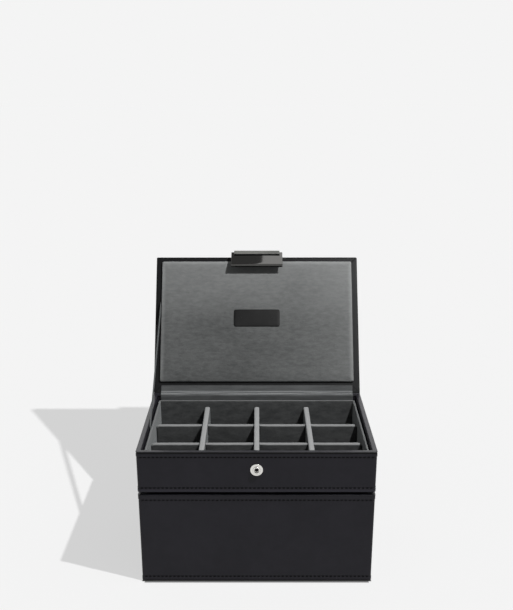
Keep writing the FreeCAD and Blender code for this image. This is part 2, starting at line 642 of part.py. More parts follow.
def snap_socket():
    """The tab's half: a cup for the stud's head with a rolled lip, and a shank into the tongue."""
    height = TAB_STANDOFF - STUD_FLANGE - SOCKET_FLANGE_CLEARANCE
    cavity = STUD_HEAD_RADIUS + SOCKET_CLEARANCE
    cup_floor = TAB_STANDOFF - STUD_HEIGHT - SOCKET_CLEARANCE
    profile = [
        (0, TAB_LEATHER, 0),
        (RIVET_RADIUS, TAB_LEATHER, 0),
        (RIVET_RADIUS, 0, 0),
        (SOCKET_RADIUS, 0, 0),
        (SOCKET_RADIUS, -height, SOCKET_LIP_BEVEL),
        (cavity, -height, SOCKET_LIP_BEVEL),
        (cavity, -cup_floor, 0),
        (0, -cup_floor, 0),
    ]
    return turned_piece(profile, Vec(0, TONGUE_BACK, STUD_Z))


# ---------------------------------------------------------------- build
def build():
    pieces = {}
    pieces.update(case_pieces())
    pieces.update(drawer_pieces())
    pieces.update(upper_box_pieces())
    pieces.update(tray_pieces())
    pieces.update(lid_pieces())
    pieces.update(hinge_pieces())
    pieces.update(tab_end_pieces())
    pieces["hinge_lining"] = hinge_lining()
    pieces["stay_ribbon"] = stay_ribbon()
    pieces["tab_root"] = tab_root()
    pieces["tab_strap"] = tab_strap()
    pieces["stud"] = stud()
    pieces["stud_rivet"] = stud_rivet()
    return pieces


os.makedirs("parts", exist_ok=True)
for name, shape in build().items():
    shape.exportStep("parts/%s.step" % name)
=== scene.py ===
"""Looks of the cufflink box with drawer: leather, velvet, metal, stitches, light and camera.

Sizes are in millimetres in the part's own frame: +X right, +Y back, +Z up, origin at the middle of
the underside. Pieces of the lid and of the closing tab are worked out as they lie on the shut box
and are then turned to where the open box has them.
"""
import math

import bmesh
import bpy
import numpy as np
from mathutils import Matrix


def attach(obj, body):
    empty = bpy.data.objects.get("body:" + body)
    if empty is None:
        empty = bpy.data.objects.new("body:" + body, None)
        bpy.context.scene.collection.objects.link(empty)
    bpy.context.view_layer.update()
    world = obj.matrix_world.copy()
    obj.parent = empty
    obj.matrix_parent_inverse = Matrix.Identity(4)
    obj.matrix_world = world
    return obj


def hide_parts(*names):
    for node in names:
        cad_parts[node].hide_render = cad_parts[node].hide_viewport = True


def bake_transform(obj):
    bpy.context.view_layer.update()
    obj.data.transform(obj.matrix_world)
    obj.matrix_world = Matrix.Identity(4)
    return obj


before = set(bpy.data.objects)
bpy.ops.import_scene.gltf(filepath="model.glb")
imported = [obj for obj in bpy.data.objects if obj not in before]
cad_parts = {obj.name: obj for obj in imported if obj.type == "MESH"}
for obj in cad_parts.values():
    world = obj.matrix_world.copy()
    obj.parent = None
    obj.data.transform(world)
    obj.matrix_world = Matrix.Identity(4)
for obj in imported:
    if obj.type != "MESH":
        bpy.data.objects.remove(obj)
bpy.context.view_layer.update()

MM = 0.001

# ---------------------------------------------------------------- sizes
HALF_W, HALF_D = 90.0, 62.5
WALL = 4.0
FOOT, CASE_TOP = 1.0, 75.5
UPPER_FOOT, RIM = 77.8, 111.0
CORNER = 2.0
HEM = 0.25                  # how far the doubled leather stands proud
RIM_CREASE = 0.6            # depth of the line pressed in below the upper storey's rim
FRONT_BOARD = 6.0           # thickness of the drawer's front
FELT_HALF_W, FELT_FRONT, FELT_BACK = 87.0, -53.2, 59.5
STITCH_INSET = 4.0          # rows of stitches from the edges of the lid,
ROWS_UP = (3.45, 4.35)      # and from the foot and the rim of each storey
STITCH_PITCH, STITCH_LENGTH, STITCH_RADIUS = 3.1, 2.2, 0.56
CASE_FRONT, DRAWER_IN_FRONT = -56.2, -56.5
DRAWER_HALF_W, DRAWER_SIDE, DRAWER_BACK = 85.4, 3.0, 56.5
DRAWER_UNDER, DRAWER_WALL_TOP = 5.8, 61.8
GLIDE_CLEARANCE = 0.35
DRAWER_FLOOR, DRAWER_PAD, PAD_GAP = 9.3, 2.0, 0.3

TRAY_OUT_W, TRAY_OUT_D = 85.0, 57.5
TRAY_IN_W, TRAY_IN_D = 83.5, 56.0
TRAY_FLOOR, TRAY_GROUND, TRAY_TOP = 80.8, 82.6, 107.0
TRAY_RIM = 0.75             # radius of the tray walls' upper edge
DIVIDER, LAP = 3.8, 91.05   # a divider's thickness, and the height of the lap joints
PILE, LAP_GAP = 0.25, 0.15  # the velvet on each face, and the clearance of the joints
DIVIDER_END, DIVIDER_ROUNDING = 3.0, 1.25   # radii of its upper ends and of its faces' edges
LONG_TOP, CROSS_TOP = 102.0, 99.5
COLUMN_LINES = (-42.7, 0.0, 42.7)
ROW_LINES = (-19.3, 19.3)

LID_UNDER, LID_TOP = 111.3, 117.3
HINGE = (62.8, 111.15)      # places in the middle plane are (y, z)
LID_OPEN = 122.0
LID_UP = (-math.cos(math.radians(LID_OPEN)), math.sin(math.radians(LID_OPEN)))
LID_OUT = (-LID_UP[1], LID_UP[0])   # the way that the open lid's lining faces
LINING_X = 84.7
LINING_Y = (-57.8, 52.5)
LINING_FACE = 108.3
PLAQUE_Y = -4.7             # middle of the plaque on the shut lid
PLAQUE_HALF = (20.25, 7.75)

STRIP_Y, STRIP_FOOT, ROLL_TOP = 57.98, 105.0, 113.25   # the hinge's velvet strip behind the tray,
STRIP_OFF, STRIP_REACH, STRIP_THICK = 0.4, 7.2, 0.5    # off and up the open lid, and its thickness
OUTER_FOOT, OUTER_BEND, OUTER_TOP = 106.9, 111.6, 116.2   # the hinge's leather on the shut box
OUTER_THICK = 0.55
RIBBON_X, RIBBON_HALF, RIBBON_SLANT = -85.5, 3.0, 25.5
RIBBON_BOX, RIBBON_LID = (-7.5, 107.0), (105.13, 178.90)

PLATE_HALF, PLATE_THICKNESS = 22.75, 1.3
PLATE_TOP, PLATE_FOOT = 105.0, 88.0
TAB_HALF, TAB_LEATHER = 20.25, 1.6
LIFT_LINE, FOLD_LINE = (-64.0, 118.1), (-66.1, 108.2)   # where it bends on the shut box
TAB_ROOT_Y, TONGUE_FOOT = -46.6, PLATE_FOOT + 2.1
TAB_REST_LIFT, TAB_FOLD = 5.0, 67.0
TONGUE_BACK, TONGUE_FACE = -65.3, -66.9
STUD_Z = 96.5


# ---------------------------------------------------------------- places
def turned(points, pivot, degrees):
    """Points turned about a line along X through pivot, which is (y, z)."""
    angle = math.radians(degrees)
    y, z = points[..., 1] - pivot[0], points[..., 2] - pivot[1]
    result = points.copy()
    result[..., 1] = pivot[0] + y * math.cos(angle) - z * math.sin(angle)
    result[..., 2] = pivot[1] + y * math.sin(angle) + z * math.cos(angle)
    return result


def opened(points):
    """From the shut lid to the open one."""
    return turned(points, HINGE, -LID_OPEN)


def relaxed(points):
    """From the snapped tab to the strap of the relaxed one on the open lid."""
    return opened(turned(points, LIFT_LINE, -TAB_REST_LIFT))


def hanging(points):
    """From the snapped tab to its folded end on the open lid."""
    return relaxed(turned(points, FOLD_LINE, TAB_FOLD))


def at(y, z, place):
    """One point of the middle plane, moved by a place function, as (y, z)."""
    point = place(np.array([[0.0, y, z]]))[0]
    return point[1], point[2]


# ---------------------------------------------------------------- shapes
def arc(centre, radius, start, end, steps=5):
    """Points on a circle's arc, from one angle to another in degrees."""
    angle = np.radians(np.linspace(start, end, steps + 1))
    return np.stack([centre[0] + radius * np.cos(angle), centre[1] + radius * np.sin(angle)], 1)


def run_of(inset, start, end, steps):
    """Points of a section at one inset, from one level to another."""
    level = np.linspace(start, end, steps + 1)
    return np.stack([np.full_like(level, inset), level], 1)


def route(corners, closed, radii, insets, arc_steps, run_steps):
    """Points of a right-angled outline drawn in by each inset, as (inset, place, 2).

    The outline has its inside on the left. A corner's arc has its centre radius + inset in from
    both its runs and is tangent to them. The radius shrinks as the inset grows, and a corner that
    turns right stays sharp. The runs between corners are divided evenly.
    """
    corners = np.array(corners, float)
    inset = np.array(insets, float)[:, None, None]
    ahead = np.roll(corners, -1, 0) - corners
    ahead /= np.linalg.norm(ahead, axis=1)[:, None]
    outward = np.stack([ahead[:, 1], -ahead[:, 0]], 1)
    angle = np.linspace(0, math.pi / 2, arc_steps + 1)[None, :, None]
    bends = []
    for number, corner in enumerate(corners):
        before, after = outward[number - 1], outward[number]
        left_turn = ahead[number - 1][0] * ahead[number][1] - ahead[number - 1][1] * ahead[number][0] > 0
        if not closed and number == 0:
            bends.append(corner - inset * after)
        elif not closed and number == len(corners) - 1:
            bends.append(corner - inset * before)
        else:
            radius = np.maximum(radii[number] - inset, 0.05 * radii[number]) * left_turn
            centre = corner - (inset + radius) * (before + after)
            bends.append(centre + radius * (before * np.cos(angle) + after * np.sin(angle)))
    places = []
    share = np.linspace(0, 1, run_steps + 1)[None, 1:-1, None]
    for number, bend in enumerate(bends):
        places.append(bend)
        if closed or number < len(bends) - 1:
            start, end = bend[:, -1:], bends[(number + 1) % len(bends)][:, :1]
            places.append(start + (end - start) * share)
    return np.concatenate(places, 1)


def swept(section, corners, closed=True, radius=0.0, radii=None, arc_steps=6, run_steps=1,
          plane="XY"):
    """A section carried round an outline: row by row, the outline at that inset and that level."""
    section = np.concatenate([np.atleast_2d(np.array(part, float)) for part in section])
    radii = radii if radii is not None else [radius] * len(corners)
    flat = route(corners, closed, radii, section[:, 0], arc_steps, run_steps)
    level = np.broadcast_to(section[:, 1][:, None], flat.shape[:2])
    if plane == "XY":
        return np.stack([flat[..., 0], flat[..., 1], level], -1)
    return np.stack([level, flat[..., 0], flat[..., 1]], -1)


def rectangle(half_w, half_d, middle=0.0):
    """Corners of a rectangle about (0, middle), inside on the left."""
    front, back = middle - half_d, middle + half_d
    return [(-half_w, front), (half_w, front), (half_w, back), (-half_w, back)]


def rounded_box(low, high, radius, pitch, arc_steps=3):
    """A box with its edges and corners rounded, as six grids.

    A point of the sharp box moves to one radius from the nearest point of the box shrunk by that
    radius. Stations are even on the flats and at even angles in the roundings.
    """
    low, high = np.array(low, float), np.array(high, float)
    half, middle = (high - low) / 2, (high + low) / 2
    inner = half - radius

    def stations(axis):
        flat = np.linspace(-inner[axis], inner[axis], max(1, round(2 * inner[axis] / pitch)) + 1)
        bend = inner[axis] + radius * np.tan(np.linspace(0, math.pi / 4, arc_steps + 1)[1:])
        return np.concatenate([-bend[::-1], flat, bend])

    grids = []
    for axis in range(3):
        first, second = (axis + 1) % 3, (axis + 2) % 3
        a, b = np.meshgrid(stations(first), stations(second), indexing="ij")
        for side in (-1, 1):
            sharp = np.zeros(a.shape + (3,))
            sharp[..., axis], sharp[..., first], sharp[..., second] = side * half[axis], a, b
            near = np.clip(sharp, -inner, inner)
            off = sharp - near
            grids.append(shell(middle + near + radius * off / np.linalg.norm(off, axis=-1)[..., None]))
    return grids


def spun(profile, centre, steps=48):
    """A profile of (radius, distance in front) turned about a line along Y through centre."""
    profile = np.array(profile, float)
    angle = np.linspace(0, 2 * math.pi, steps, endpoint=False)
    radius, forward = profile[:, :1], profile[:, 1:]
    return np.stack([
        centre[0] + radius * np.cos(angle),
        centre[1] - forward + 0 * angle,
        centre[2] + radius * np.sin(angle),
    ], -1)


def strip(line, half_width, thickness, rows=24, edge=0.45):
    """A strap across X: a rounded oblong section carried along a line in the YZ plane.

    At each place the section's two faces lie half a thickness off the line, and its sides are
    half rounds.
    """
    line = np.array(line, float)
    along = np.gradient(line, axis=0)
    along /= np.linalg.norm(along, axis=1)[:, None]
    off = np.stack([-along[:, 1], along[:, 0]], 1)
    half = thickness / 2
    bow = min(half, edge)
    round_side = np.radians([60, 30, 0, -30, -60])
    flat = np.linspace(-1, 1, rows + 1) * (half_width - bow)
    reach = half_width - bow + bow * np.cos(round_side)
    fall = half * np.sin(round_side)
    x = np.concatenate([flat, reach, flat[::-1], -reach])
    depth = np.concatenate([np.full(rows + 1, half), fall, np.full(rows + 1, -half), -fall])
    y = line[:, 0][:, None] + off[:, 0][:, None] * depth
    z = line[:, 1][:, None] + off[:, 1][:, None] * depth
    return np.stack([np.broadcast_to(x, y.shape), y, z], -1)


def bent_line(points, radii, pitch):
    """A line in the YZ plane through points, each corner replaced by an arc tangent to both runs.

    With a turn of t at a corner, the arc of radius r leaves the runs r tan(t/2) from it.
    """
    points = [np.array(point, float) for point in points]
    parts = [points[0][None]]
    for last, corner, following, radius in zip(points, points[1:], points[2:], radii):
        before = (corner - last) / np.linalg.norm(corner - last)
        after = (following - corner) / np.linalg.norm(following - corner)
        turn = math.atan2(before[0] * after[1] - before[1] * after[0], before @ after)
        cut = radius * math.tan(abs(turn) / 2)
        start = corner - before * cut
        normal = np.array([-before[1], before[0]]) * math.copysign(1, turn)
        angle = np.linspace(0, abs(turn), max(4, int(abs(turn) * radius / (pitch / 4))) + 1)[:, None]
        parts.append(start + normal * radius * (1 - np.cos(angle)) + before * radius * np.sin(angle))
    parts.append(points[-1][None])
    line = np.concatenate(parts)
    fill = [line[:1]]
    for start, end in zip(line, line[1:]):
        count = max(1, int(np.linalg.norm(end - start) / pitch))
        fill.append(start + (end - start) * np.linspace(0, 1, count + 1)[1:, None])
    return np.concatenate(fill)


# ---------------------------------------------------------------- meshes
def shell(points, rows_join=False, columns_join=False, cap=None):
    """A grid of points (rows, columns, 3), with how it closes. cap is rows or columns: the ends that
    are closed by a flat face."""
    return points, rows_join, columns_join, cap


def bar(points):
    """A grid whose columns close into a section and whose first and last rows are its flat ends."""
    return [shell(points, columns_join=True, cap="rows")]


def skin(points):
    """A grid whose columns close, and which needs no faces at its first and last rows."""
    return [shell(points, columns_join=True)]


def ring(points):
    """A grid that closes both ways."""
    return [shell(points, rows_join=True, columns_join=True)]


def open_ring(points):
    """A section that closes, carried along an outline with two ends, which are flat."""
    return [shell(points, rows_join=True, cap="columns")]


def grid_faces(rows, columns, rows_join, columns_join):
    """The four corners of each cell of a grid, as numbers of its points."""
    i, j = np.meshgrid(np.arange(rows if rows_join else rows - 1),
                       np.arange(columns if columns_join else columns - 1), indexing="ij")
    i_next, j_next = (i + 1) % rows, (j + 1) % columns
    cells = [i * columns + j, i * columns + j_next, i_next * columns + j_next, i_next * columns + j]
    return np.stack(cells, -1).reshape(-1, 4)


def mesh_of(name, shells):
    """A mesh from shells, with doubles merged, normals outward and edges over 40 degrees sharp."""
    points, faces, offset = [], [], 0
    for grid, rows_join, columns_join, cap in shells:
        rows, columns = grid.shape[:2]
        points.append(grid.reshape(-1, 3))
        faces += (grid_faces(rows, columns, rows_join, columns_join) + offset).tolist()
        number = np.arange(rows * columns).reshape(rows, columns) + offset
        if cap == "rows":
            faces += [number[0].tolist(), number[-1].tolist()]
        elif cap == "columns":
            faces += [number[:, 0].tolist(), number[:, -1].tolist()]
        offset += rows * columns
    mesh = bpy.data.meshes.new(name)
    mesh.from_pydata((np.concatenate(points) * MM).tolist(), [], faces)
    work = bmesh.new()
    work.from_mesh(mesh)
    bmesh.ops.remove_doubles(work, verts=work.verts, dist=2e-6)
    bmesh.ops.dissolve_degenerate(work, edges=work.edges, dist=1e-7)
    bmesh.ops.recalc_face_normals(work, faces=work.faces)
    work.to_mesh(mesh)
    work.free()
    mesh.shade_smooth()
    mesh.set_sharp_from_angle(angle=math.radians(40))
    return mesh


def placed(name, data):
    """A new object in the scene."""
    thing = bpy.data.objects.new(name, data)
    bpy.context.scene.collection.objects.link(thing)
    return thing


def piece(name, shells, finish, body=None, replaces=(), hand=None):
    """One object at the origin, with its finish, its place among the bodies and what it stands for.

    hand is how uneven its surface is, as (size, amount, seed).
    """
    thing = placed(name, mesh_of(name, shells))
    thing.data.materials.append(finish)
    if replaces:
        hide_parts(*replaces)
    if body:
        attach(thing, body)
    if hand:
        uneven(thing, *hand)
    return thing


def coordinates(mesh, field="co"):
    """A mesh's points, or with field="normal" their normals, as an array."""
    values = np.empty(len(mesh.vertices) * 3, np.float32)
    mesh.vertices.foreach_get(field, values)
    return values.reshape(-1, 3).astype(float)


def set_coordinates(mesh, points):
    """Moves a mesh's points to those of an array."""
    mesh.vertices.foreach_set("co", points.astype(np.float32).ravel())
    mesh.update()


def uneven(thing, size, amount, seed):
    """Handwork: each point moves along its normal by the mean of eight sine waves of about that size
    in seeded directions."""
    rng = np.random.default_rng(seed)
    waves = rng.normal(size=(8, 3))
    length = size * MM * rng.uniform(0.7, 1.6, 8)
    waves *= (2 * math.pi / length / np.linalg.norm(waves, axis=1))[:, None]
    points, normals = coordinates(thing.data), coordinates(thing.data, "normal")
    height = np.sin(points @ waves.T + rng.uniform(0, 2 * math.pi, 8)).mean(1)
    set_coordinates(thing.data, points + normals * (height * amount * MM)[:, None])


def swollen(thing, held, pressure, cap):
    """Lets a covered pad fill out as cloth under pressure from inside, where held is false, and
    limits how far each point moves to cap."""
    before = coordinates(thing.data)
    group = thing.vertex_groups.new(name="held")
    group.add(np.flatnonzero(held(before / MM)).tolist(), 1.0, "REPLACE")
    cloth = thing.modifiers.new("swell", "CLOTH")
    cloth.settings.quality = 6
    cloth.settings.mass = 0.15
    cloth.settings.vertex_group_mass = "held"
    cloth.settings.use_pressure = True
    cloth.settings.uniform_pressure_force = pressure
    cloth.settings.effector_weights.gravity = 0
    cloth.collision_settings.use_collision = False
    scene = bpy.context.scene
    for step in range(1, 21):
        scene.frame_set(step)
    shown = thing.evaluated_get(bpy.context.evaluated_depsgraph_get()).to_mesh()
    after = coordinates(shown)
    thing.modifiers.remove(cloth)
    thing.vertex_groups.remove(group)
    scene.frame_set(1)
    move = after - before
    length = np.linalg.norm(move, axis=1)[:, None]
    set_coordinates(thing.data, before + move * np.minimum(1, cap * MM / np.maximum(length, 1e-9)))


def stitches(name, rows, body, place=None):
    """Rows of thread: each stitch is a capsule sunk halfway in the leather.

    rows lists (start, end, outward). Stitches stand at even steps between start and end, and place
    moves them. A capsule is rings of six points at five stations, with its ends closed.
    """
    turn = np.arange(6) * math.pi / 3
    station = np.array([-1, -0.8, 0, 0.8, 1])
    swell = np.array([0.25, 0.85, 1, 0.85, 0.25])
    a = np.broadcast_to(station[:, None] * STITCH_LENGTH / 2, (5, 6))
    b = swell[:, None] * np.cos(turn) * STITCH_RADIUS
    c = swell[:, None] * np.sin(turn) * STITCH_RADIUS
    a, b, c = (part[None, :, :, None] for part in (a, b, c))
    shells = []
    for row in rows:
        start, end, outward = (np.array(point, float) for point in row)
        along = (end - start) / np.linalg.norm(end - start)
        count = int(np.linalg.norm(end - start) / STITCH_PITCH) + 1
        middle = start + (end - start) * np.linspace(0, 1, count)[:, None]
        middle = middle[:, None, None, :]
        points = middle + along * a + outward * b + np.cross(along, outward) * c
        if place:
            points = place(points)
        shells += [part for stitch in points for part in bar(stitch)]
    piece(name, shells, THREAD, body)


# ---------------------------------------------------------------- shader maths
class Number:
    """A number in a shader. Arithmetic on it adds Math nodes."""

    def __init__(self, finish, socket):
        self.finish, self.socket = finish, socket

    def __add__(self, other):
        return self.finish.maths("ADD", self, other)

    def __sub__(self, other):
        return self.finish.maths("SUBTRACT", self, other)

    def __rsub__(self, other):
        return self.finish.maths("SUBTRACT", other, self)

    def __mul__(self, other):
        return self.finish.maths("MULTIPLY", self, other)

    def __rtruediv__(self, other):
        return self.finish.maths("DIVIDE", other, self)

    def __pow__(self, other):
        return self.finish.maths("POWER", self, other)

    def __abs__(self):
        return self.finish.maths("ABSOLUTE", self)

    __radd__, __rmul__ = __add__, __mul__


class Finish:
    """A material under construction, or the nodes of a world or lamp that is given as owner.

    With constants, it is a Principled shader whose sockets have these values.
    """

    def __init__(self, name, constants=None, owner=None):
        self.material = owner or bpy.data.materials.new(name)
        self.material.use_nodes = True
        self.tree = self.material.node_tree
        self.tree.nodes.clear()
        if constants is not None:
            self.shader = self.node("ShaderNodeBsdfPrincipled", {}, constants)
            self.end_with(self.shader)

    def node(self, kind, settings=None, sockets=None):
        """Adds a node. settings are its own, with stops for a ramp; sockets take values or links."""
        made = self.tree.nodes.new(kind)
        for name, value in (settings or {}).items():
            if name == "stops":
                ramp = made.color_ramp
                while len(ramp.elements) < len(value):
                    ramp.elements.new(0.5)
                for element, (position, shade) in zip(ramp.elements, value):
                    element.position, element.color = position, (shade, shade, shade, 1)
            else:
                setattr(made, name, value)
        for name, value in (sockets or {}).items():
            self.feed(made.inputs[name], value)
        return made

    def end_with(self, shader, kind="Material"):
        """Adds the output of a material, a World or a Light, with its shader."""
        self.node("ShaderNodeOutput" + kind, {}, {"Surface": shader.outputs[0]})
        return self.material

    def feed(self, socket, value):
        """Gives a socket a value or a link."""
        if isinstance(value, Number):
            value = value.socket
        if isinstance(value, bpy.types.NodeSocket):
            self.tree.links.new(value, socket)
        elif socket.type == "RGBA" and len(value) == 3:
            socket.default_value = (*value, 1)
        else:
            socket.default_value = value

    def maths(self, operation, *values):
        """The outcome of a Math node."""
        made = self.node("ShaderNodeMath", {"operation": operation}, dict(enumerate(values)))
        return Number(self, made.outputs[0])

    def place(self):
        """Object coordinates, in metres."""
        return self.node("ShaderNodeTexCoord").outputs["Object"]

    def part(self, what, axis):
        """The X, Y or Z of a texture coordinate, such as the Normal."""
        whole = self.node("ShaderNodeTexCoord").outputs[what]
        return Number(self, self.node("ShaderNodeSeparateXYZ", {}, {0: whole}).outputs[axis])

    def noise(self, size, detail=2.0, roughness=0.5, stretch=(1, 1, 1), distortion=0.0):
        """Clouds of about that size in millimetres, from 0 to 1."""
        where = self.node("ShaderNodeMapping", {}, {"Vector": self.place(), "Scale": stretch})
        made = self.node("ShaderNodeTexNoise", {}, {
            "Vector": where.outputs[0], "Scale": 1000 / size, "Detail": detail,
            "Roughness": roughness, "Distortion": distortion})
        return Number(self, made.outputs[0])

    def cells(self, size):
        """Distance to the middle of the nearest cell, for grain of that size in millimetres."""
        made = self.node("ShaderNodeTexVoronoi", {"feature": "SMOOTH_F1"}, {
            "Vector": self.place(), "Scale": 1000 / size})
        return Number(self, made.outputs["Distance"])

    def along(self, direction):
        """How far a point lies along a direction, in millimetres."""
        made = self.node("ShaderNodeVectorMath", {"operation": "DOT_PRODUCT"},
                         {0: self.place(), 1: [1000 * part for part in direction]})
        return Number(self, made.outputs["Value"])

    def ramp(self, value, low, high):
        """0 below low, 1 above high, and between them a smooth rise."""
        made = self.node("ShaderNodeMapRange", {"interpolation_type": "SMOOTHSTEP"},
                         {"Value": value, "From Min": low, "From Max": high})
        return Number(self, made.outputs[0])

    def near(self, value, full, gone):
        """1 where a value is within full of zero, and 0 where it is more than gone from it."""
        return 1 - self.ramp(abs(value), full, gone)

    def lowest(self, first, second):
        """The lower of two values."""
        return self.maths("MINIMUM", first, second)

    def highest(self, first, second):
        """The higher of two values."""
        return self.maths("MAXIMUM", first, second)

    def colour(self, first, second, share):
        """One colour into another by a share."""
        made = self.node("ShaderNodeMix", {"data_type": "RGBA"}, {0: share, 6: first, 7: second})
        return made.outputs[2]

    def bump(self, height, depth, normal=None):
        """Relief of that depth in millimetres, over a normal that already has some."""
        sockets = {"Height": height, "Distance": depth * MM, "Strength": 1.0}
        if normal is not None:
            sockets["Normal"] = normal
        return self.node("ShaderNodeBump", {}, sockets).outputs[0]

    def use(self, **links):
        """Feeds the shader: base, rough, coat or normal."""
        names = {"base": "Base Color", "rough": "Roughness", "coat": "Coat Weight", "normal": "Normal"}
        for name, value in links.items():
            self.feed(self.shader.inputs[names[name]], value)
        return self.material


# ---------------------------------------------------------------- finishes
RIM_SHADE_LINE = RIM - 0.98               # painted shade in the crease under the upper storey's turned rim
CASE_EDGE_SHADE = CASE_TOP - 0.3          # painted shade on the lower storey's upper edge, in the gap under the upper storey
UPPER_FOOT_HIGHLIGHT = UPPER_FOOT + 1.2        # painted highlight along the upper storey's foot
BORDER = 6.0                        # how far the lid's mitres run in from its corners


def times(factor, colour):
    """A colour made darker or lighter."""
    return tuple(factor * part for part in colour)


def up_the_lid(made):
    """How far a point lies up the open lid from its hinge, in millimetres."""
    return made.along((0, *LID_UP)) - (HINGE[0] * LID_UP[0] + HINGE[1] * LID_UP[1])


def storey_gloss_and_painted_light(made, base, dark, light):
    """The storeys' colour and gloss: painted shade along the rows of stitches, in the crease under the
    upper rim and on the lower storey's upper edge where it doesn't face up, a painted highlight along the
    upper storey's foot, and a clear coat where they face up."""
    level = made.along((0, 0, 1))
    upward = made.part("Normal", "Z")
    # Painted shade: dark in the crease under the rim, along the stitch rows and on the lower storey's
    # upper edge.
    painted_shade = made.near(level - RIM_SHADE_LINE, 0.66, 0.92)
    for foot, rim in ((UPPER_FOOT, RIM), (FOOT, CASE_TOP)):
        for row in (foot + ROWS_UP[0], rim - ROWS_UP[1]):
            painted_shade = painted_shade + made.near(level - row, 0.1, 0.5) * 0.75
    painted_shade = painted_shade + made.near(level - CASE_EDGE_SHADE, 0.5, 0.9) * (1 - made.ramp(upward, 0.75, 0.93))
    # Painted highlight along the upper storey's foot.
    base = made.colour(base, times(2.0, light), made.near(level - UPPER_FOOT_HIGHLIGHT, 0.5, 1.1) * 0.8)
    base = made.colour(base, times(0.12, dark), made.lowest(painted_shade, 1.0))
    return base, made.ramp(upward, 0.93, 0.995) * 0.62


def mitre_seams(made):
    """1 on the mitres of the lid's leather, which run in from its corners across the border."""
    from_end = HALF_D - abs(HINGE[0] - up_the_lid(made))
    from_side = HALF_W - abs(made.along((1, 0, 0)))
    in_border = 1 - made.ramp(made.lowest(from_end, from_side), BORDER - 0.5, BORDER + 0.5)
    return made.near(from_end - from_side, 0.1, 0.4) * in_border


def leather(name, dark, light, rough=0.46, specular=0.22, grain=0.7, relief=0.035, mitres=False,
            storey_gloss_and_shade=False):
    """Fine-grained leather: small pebbles with pores between them, faint clouds and rubbed patches.
    It may have the storeys' gloss with their painted shade and highlight, or the mitres of the lid."""
    made = Finish(name, {"Specular IOR Level": specular, "Coat Roughness": 0.22})
    pores = made.noise(0.35, detail=3)
    clouds = made.noise(38, detail=4, roughness=0.6)
    rubbed = made.noise(9, detail=3)
    base = made.colour(dark, light, made.ramp(clouds * 0.7 + rubbed * 0.3, 0.35, 0.68))
    burnish = 0.0
    if storey_gloss_and_shade:
        base, burnish = storey_gloss_and_painted_light(made, base, dark, light)
    normal = made.bump(made.cells(grain) * 0.7 + pores * 0.5, relief)
    if mitres:
        seam = mitre_seams(made)
        base = made.colour(base, times(0.3, dark), seam)
        normal = made.bump(1 - seam, 0.2, normal)
    return made.use(base=base, coat=burnish, normal=normal,
                    rough=rough + (clouds - 0.5) * 0.16 + (pores - 0.5) * 0.1)


def velvet(name, dark, light, sheen=0.35, nap=11.0, stretch=(1, 1, 1), gradient=None, top_highlight=None,
           side_highlight=0.0, relief=0.5):
    """Short-pile velvet: brushed marks where the nap lies over, fine pile, and a sheen at its edges.

    A top highlight is (from, to, amount): painted highlight, paler where the surface faces up, as the
    upward part of its normal goes from one to the other. The side highlight is the share of painted
    highlight added where it faces right or left.
    A gradient is a function that gives the share over the whole piece, to which patches are added.
    """
    made = Finish(name, {"Roughness": 0.95, "Specular IOR Level": 0.05, "Sheen Weight": sheen,
                         "Sheen Roughness": 0.35, "Sheen Tint": (0.86, 0.92, 0.93)})
    brushed = made.noise(nap, detail=6, roughness=0.68, stretch=stretch, distortion=0.25)
    pile = made.noise(0.55, detail=3, roughness=0.7)
    share = made.ramp(brushed, 0.25, 0.75) * 0.42 + (pile - 0.5) * 0.55 + 0.25
    if gradient:
        patches = made.noise(34, detail=2, stretch=(0.6, 1, 1)) - 0.5
        share = (share - 0.5) * 0.3 + patches * 0.16 + gradient(made)
    # Painted highlight where the surface faces up.
    if top_highlight:
        share = share * 0.3 + made.ramp(made.part("Normal", "Z"), *top_highlight[:2]) * top_highlight[2]
    # Painted highlight where the surface faces right or left.
    if side_highlight:
        share = share + made.ramp(abs(made.part("Normal", "X")), 0.5, 0.95) * side_highlight
    share = made.lowest(made.highest(share, 0.0), 1.0)
    return made.use(base=made.colour(dark, light, share),
                    normal=made.bump(pile + brushed * relief, 0.18))


def lining_lean_and_edge_highlight(made):
    """The lining lightens up the lid from its hinge and towards its right, and is paler along the pad's
    edges: a painted highlight where its rounded edges catch the light."""
    from_hinge = up_the_lid(made)
    right = made.along((1, 0, 0))
    from_side = LINING_X - abs(right)
    from_top = HINGE[0] - LINING_Y[0] - from_hinge
    # Painted highlight along the pad's edges.
    edge = 1 - made.ramp(made.lowest(from_side, from_top), 0.5, 4.5)
    lean = made.ramp(from_hinge, 50, 125) * 0.2 + from_hinge * 0.0007 + right * 0.00055
    return lean + right * right * 0.00001 + edge * 0.22 + 0.185


def metal(name, colour, rough, scratch=0.05):
    """Plated metal with a fine brushed variation."""
    made = Finish(name, {"Base Color": colour, "Metallic": 1.0})
    marks = made.noise(1.2, detail=4, stretch=(0.15, 1, 1))
    cloud = made.noise(8, detail=2)
    return made.use(rough=rough + (marks - 0.5) * scratch + (cloud - 0.5) * scratch,
                    normal=made.bump(marks, 0.004))


# The storeys' leather carries painted shade along its creases and stitch rows and a painted highlight
# along the upper foot.
LEATHER = leather("black_leather", (0.0098, 0.0092, 0.0134), (0.0148, 0.0140, 0.0192), storey_gloss_and_shade=True)
LID_LEATHER = leather("black_leather_lid", (0.0045, 0.0048, 0.0053), (0.0085, 0.0088, 0.0095),
                      specular=0.1, mitres=True)
STRAP_LEATHER = leather("black_leather_tab", (0.0105, 0.0105, 0.011), (0.0175, 0.0175, 0.018),
                        specular=0.25)
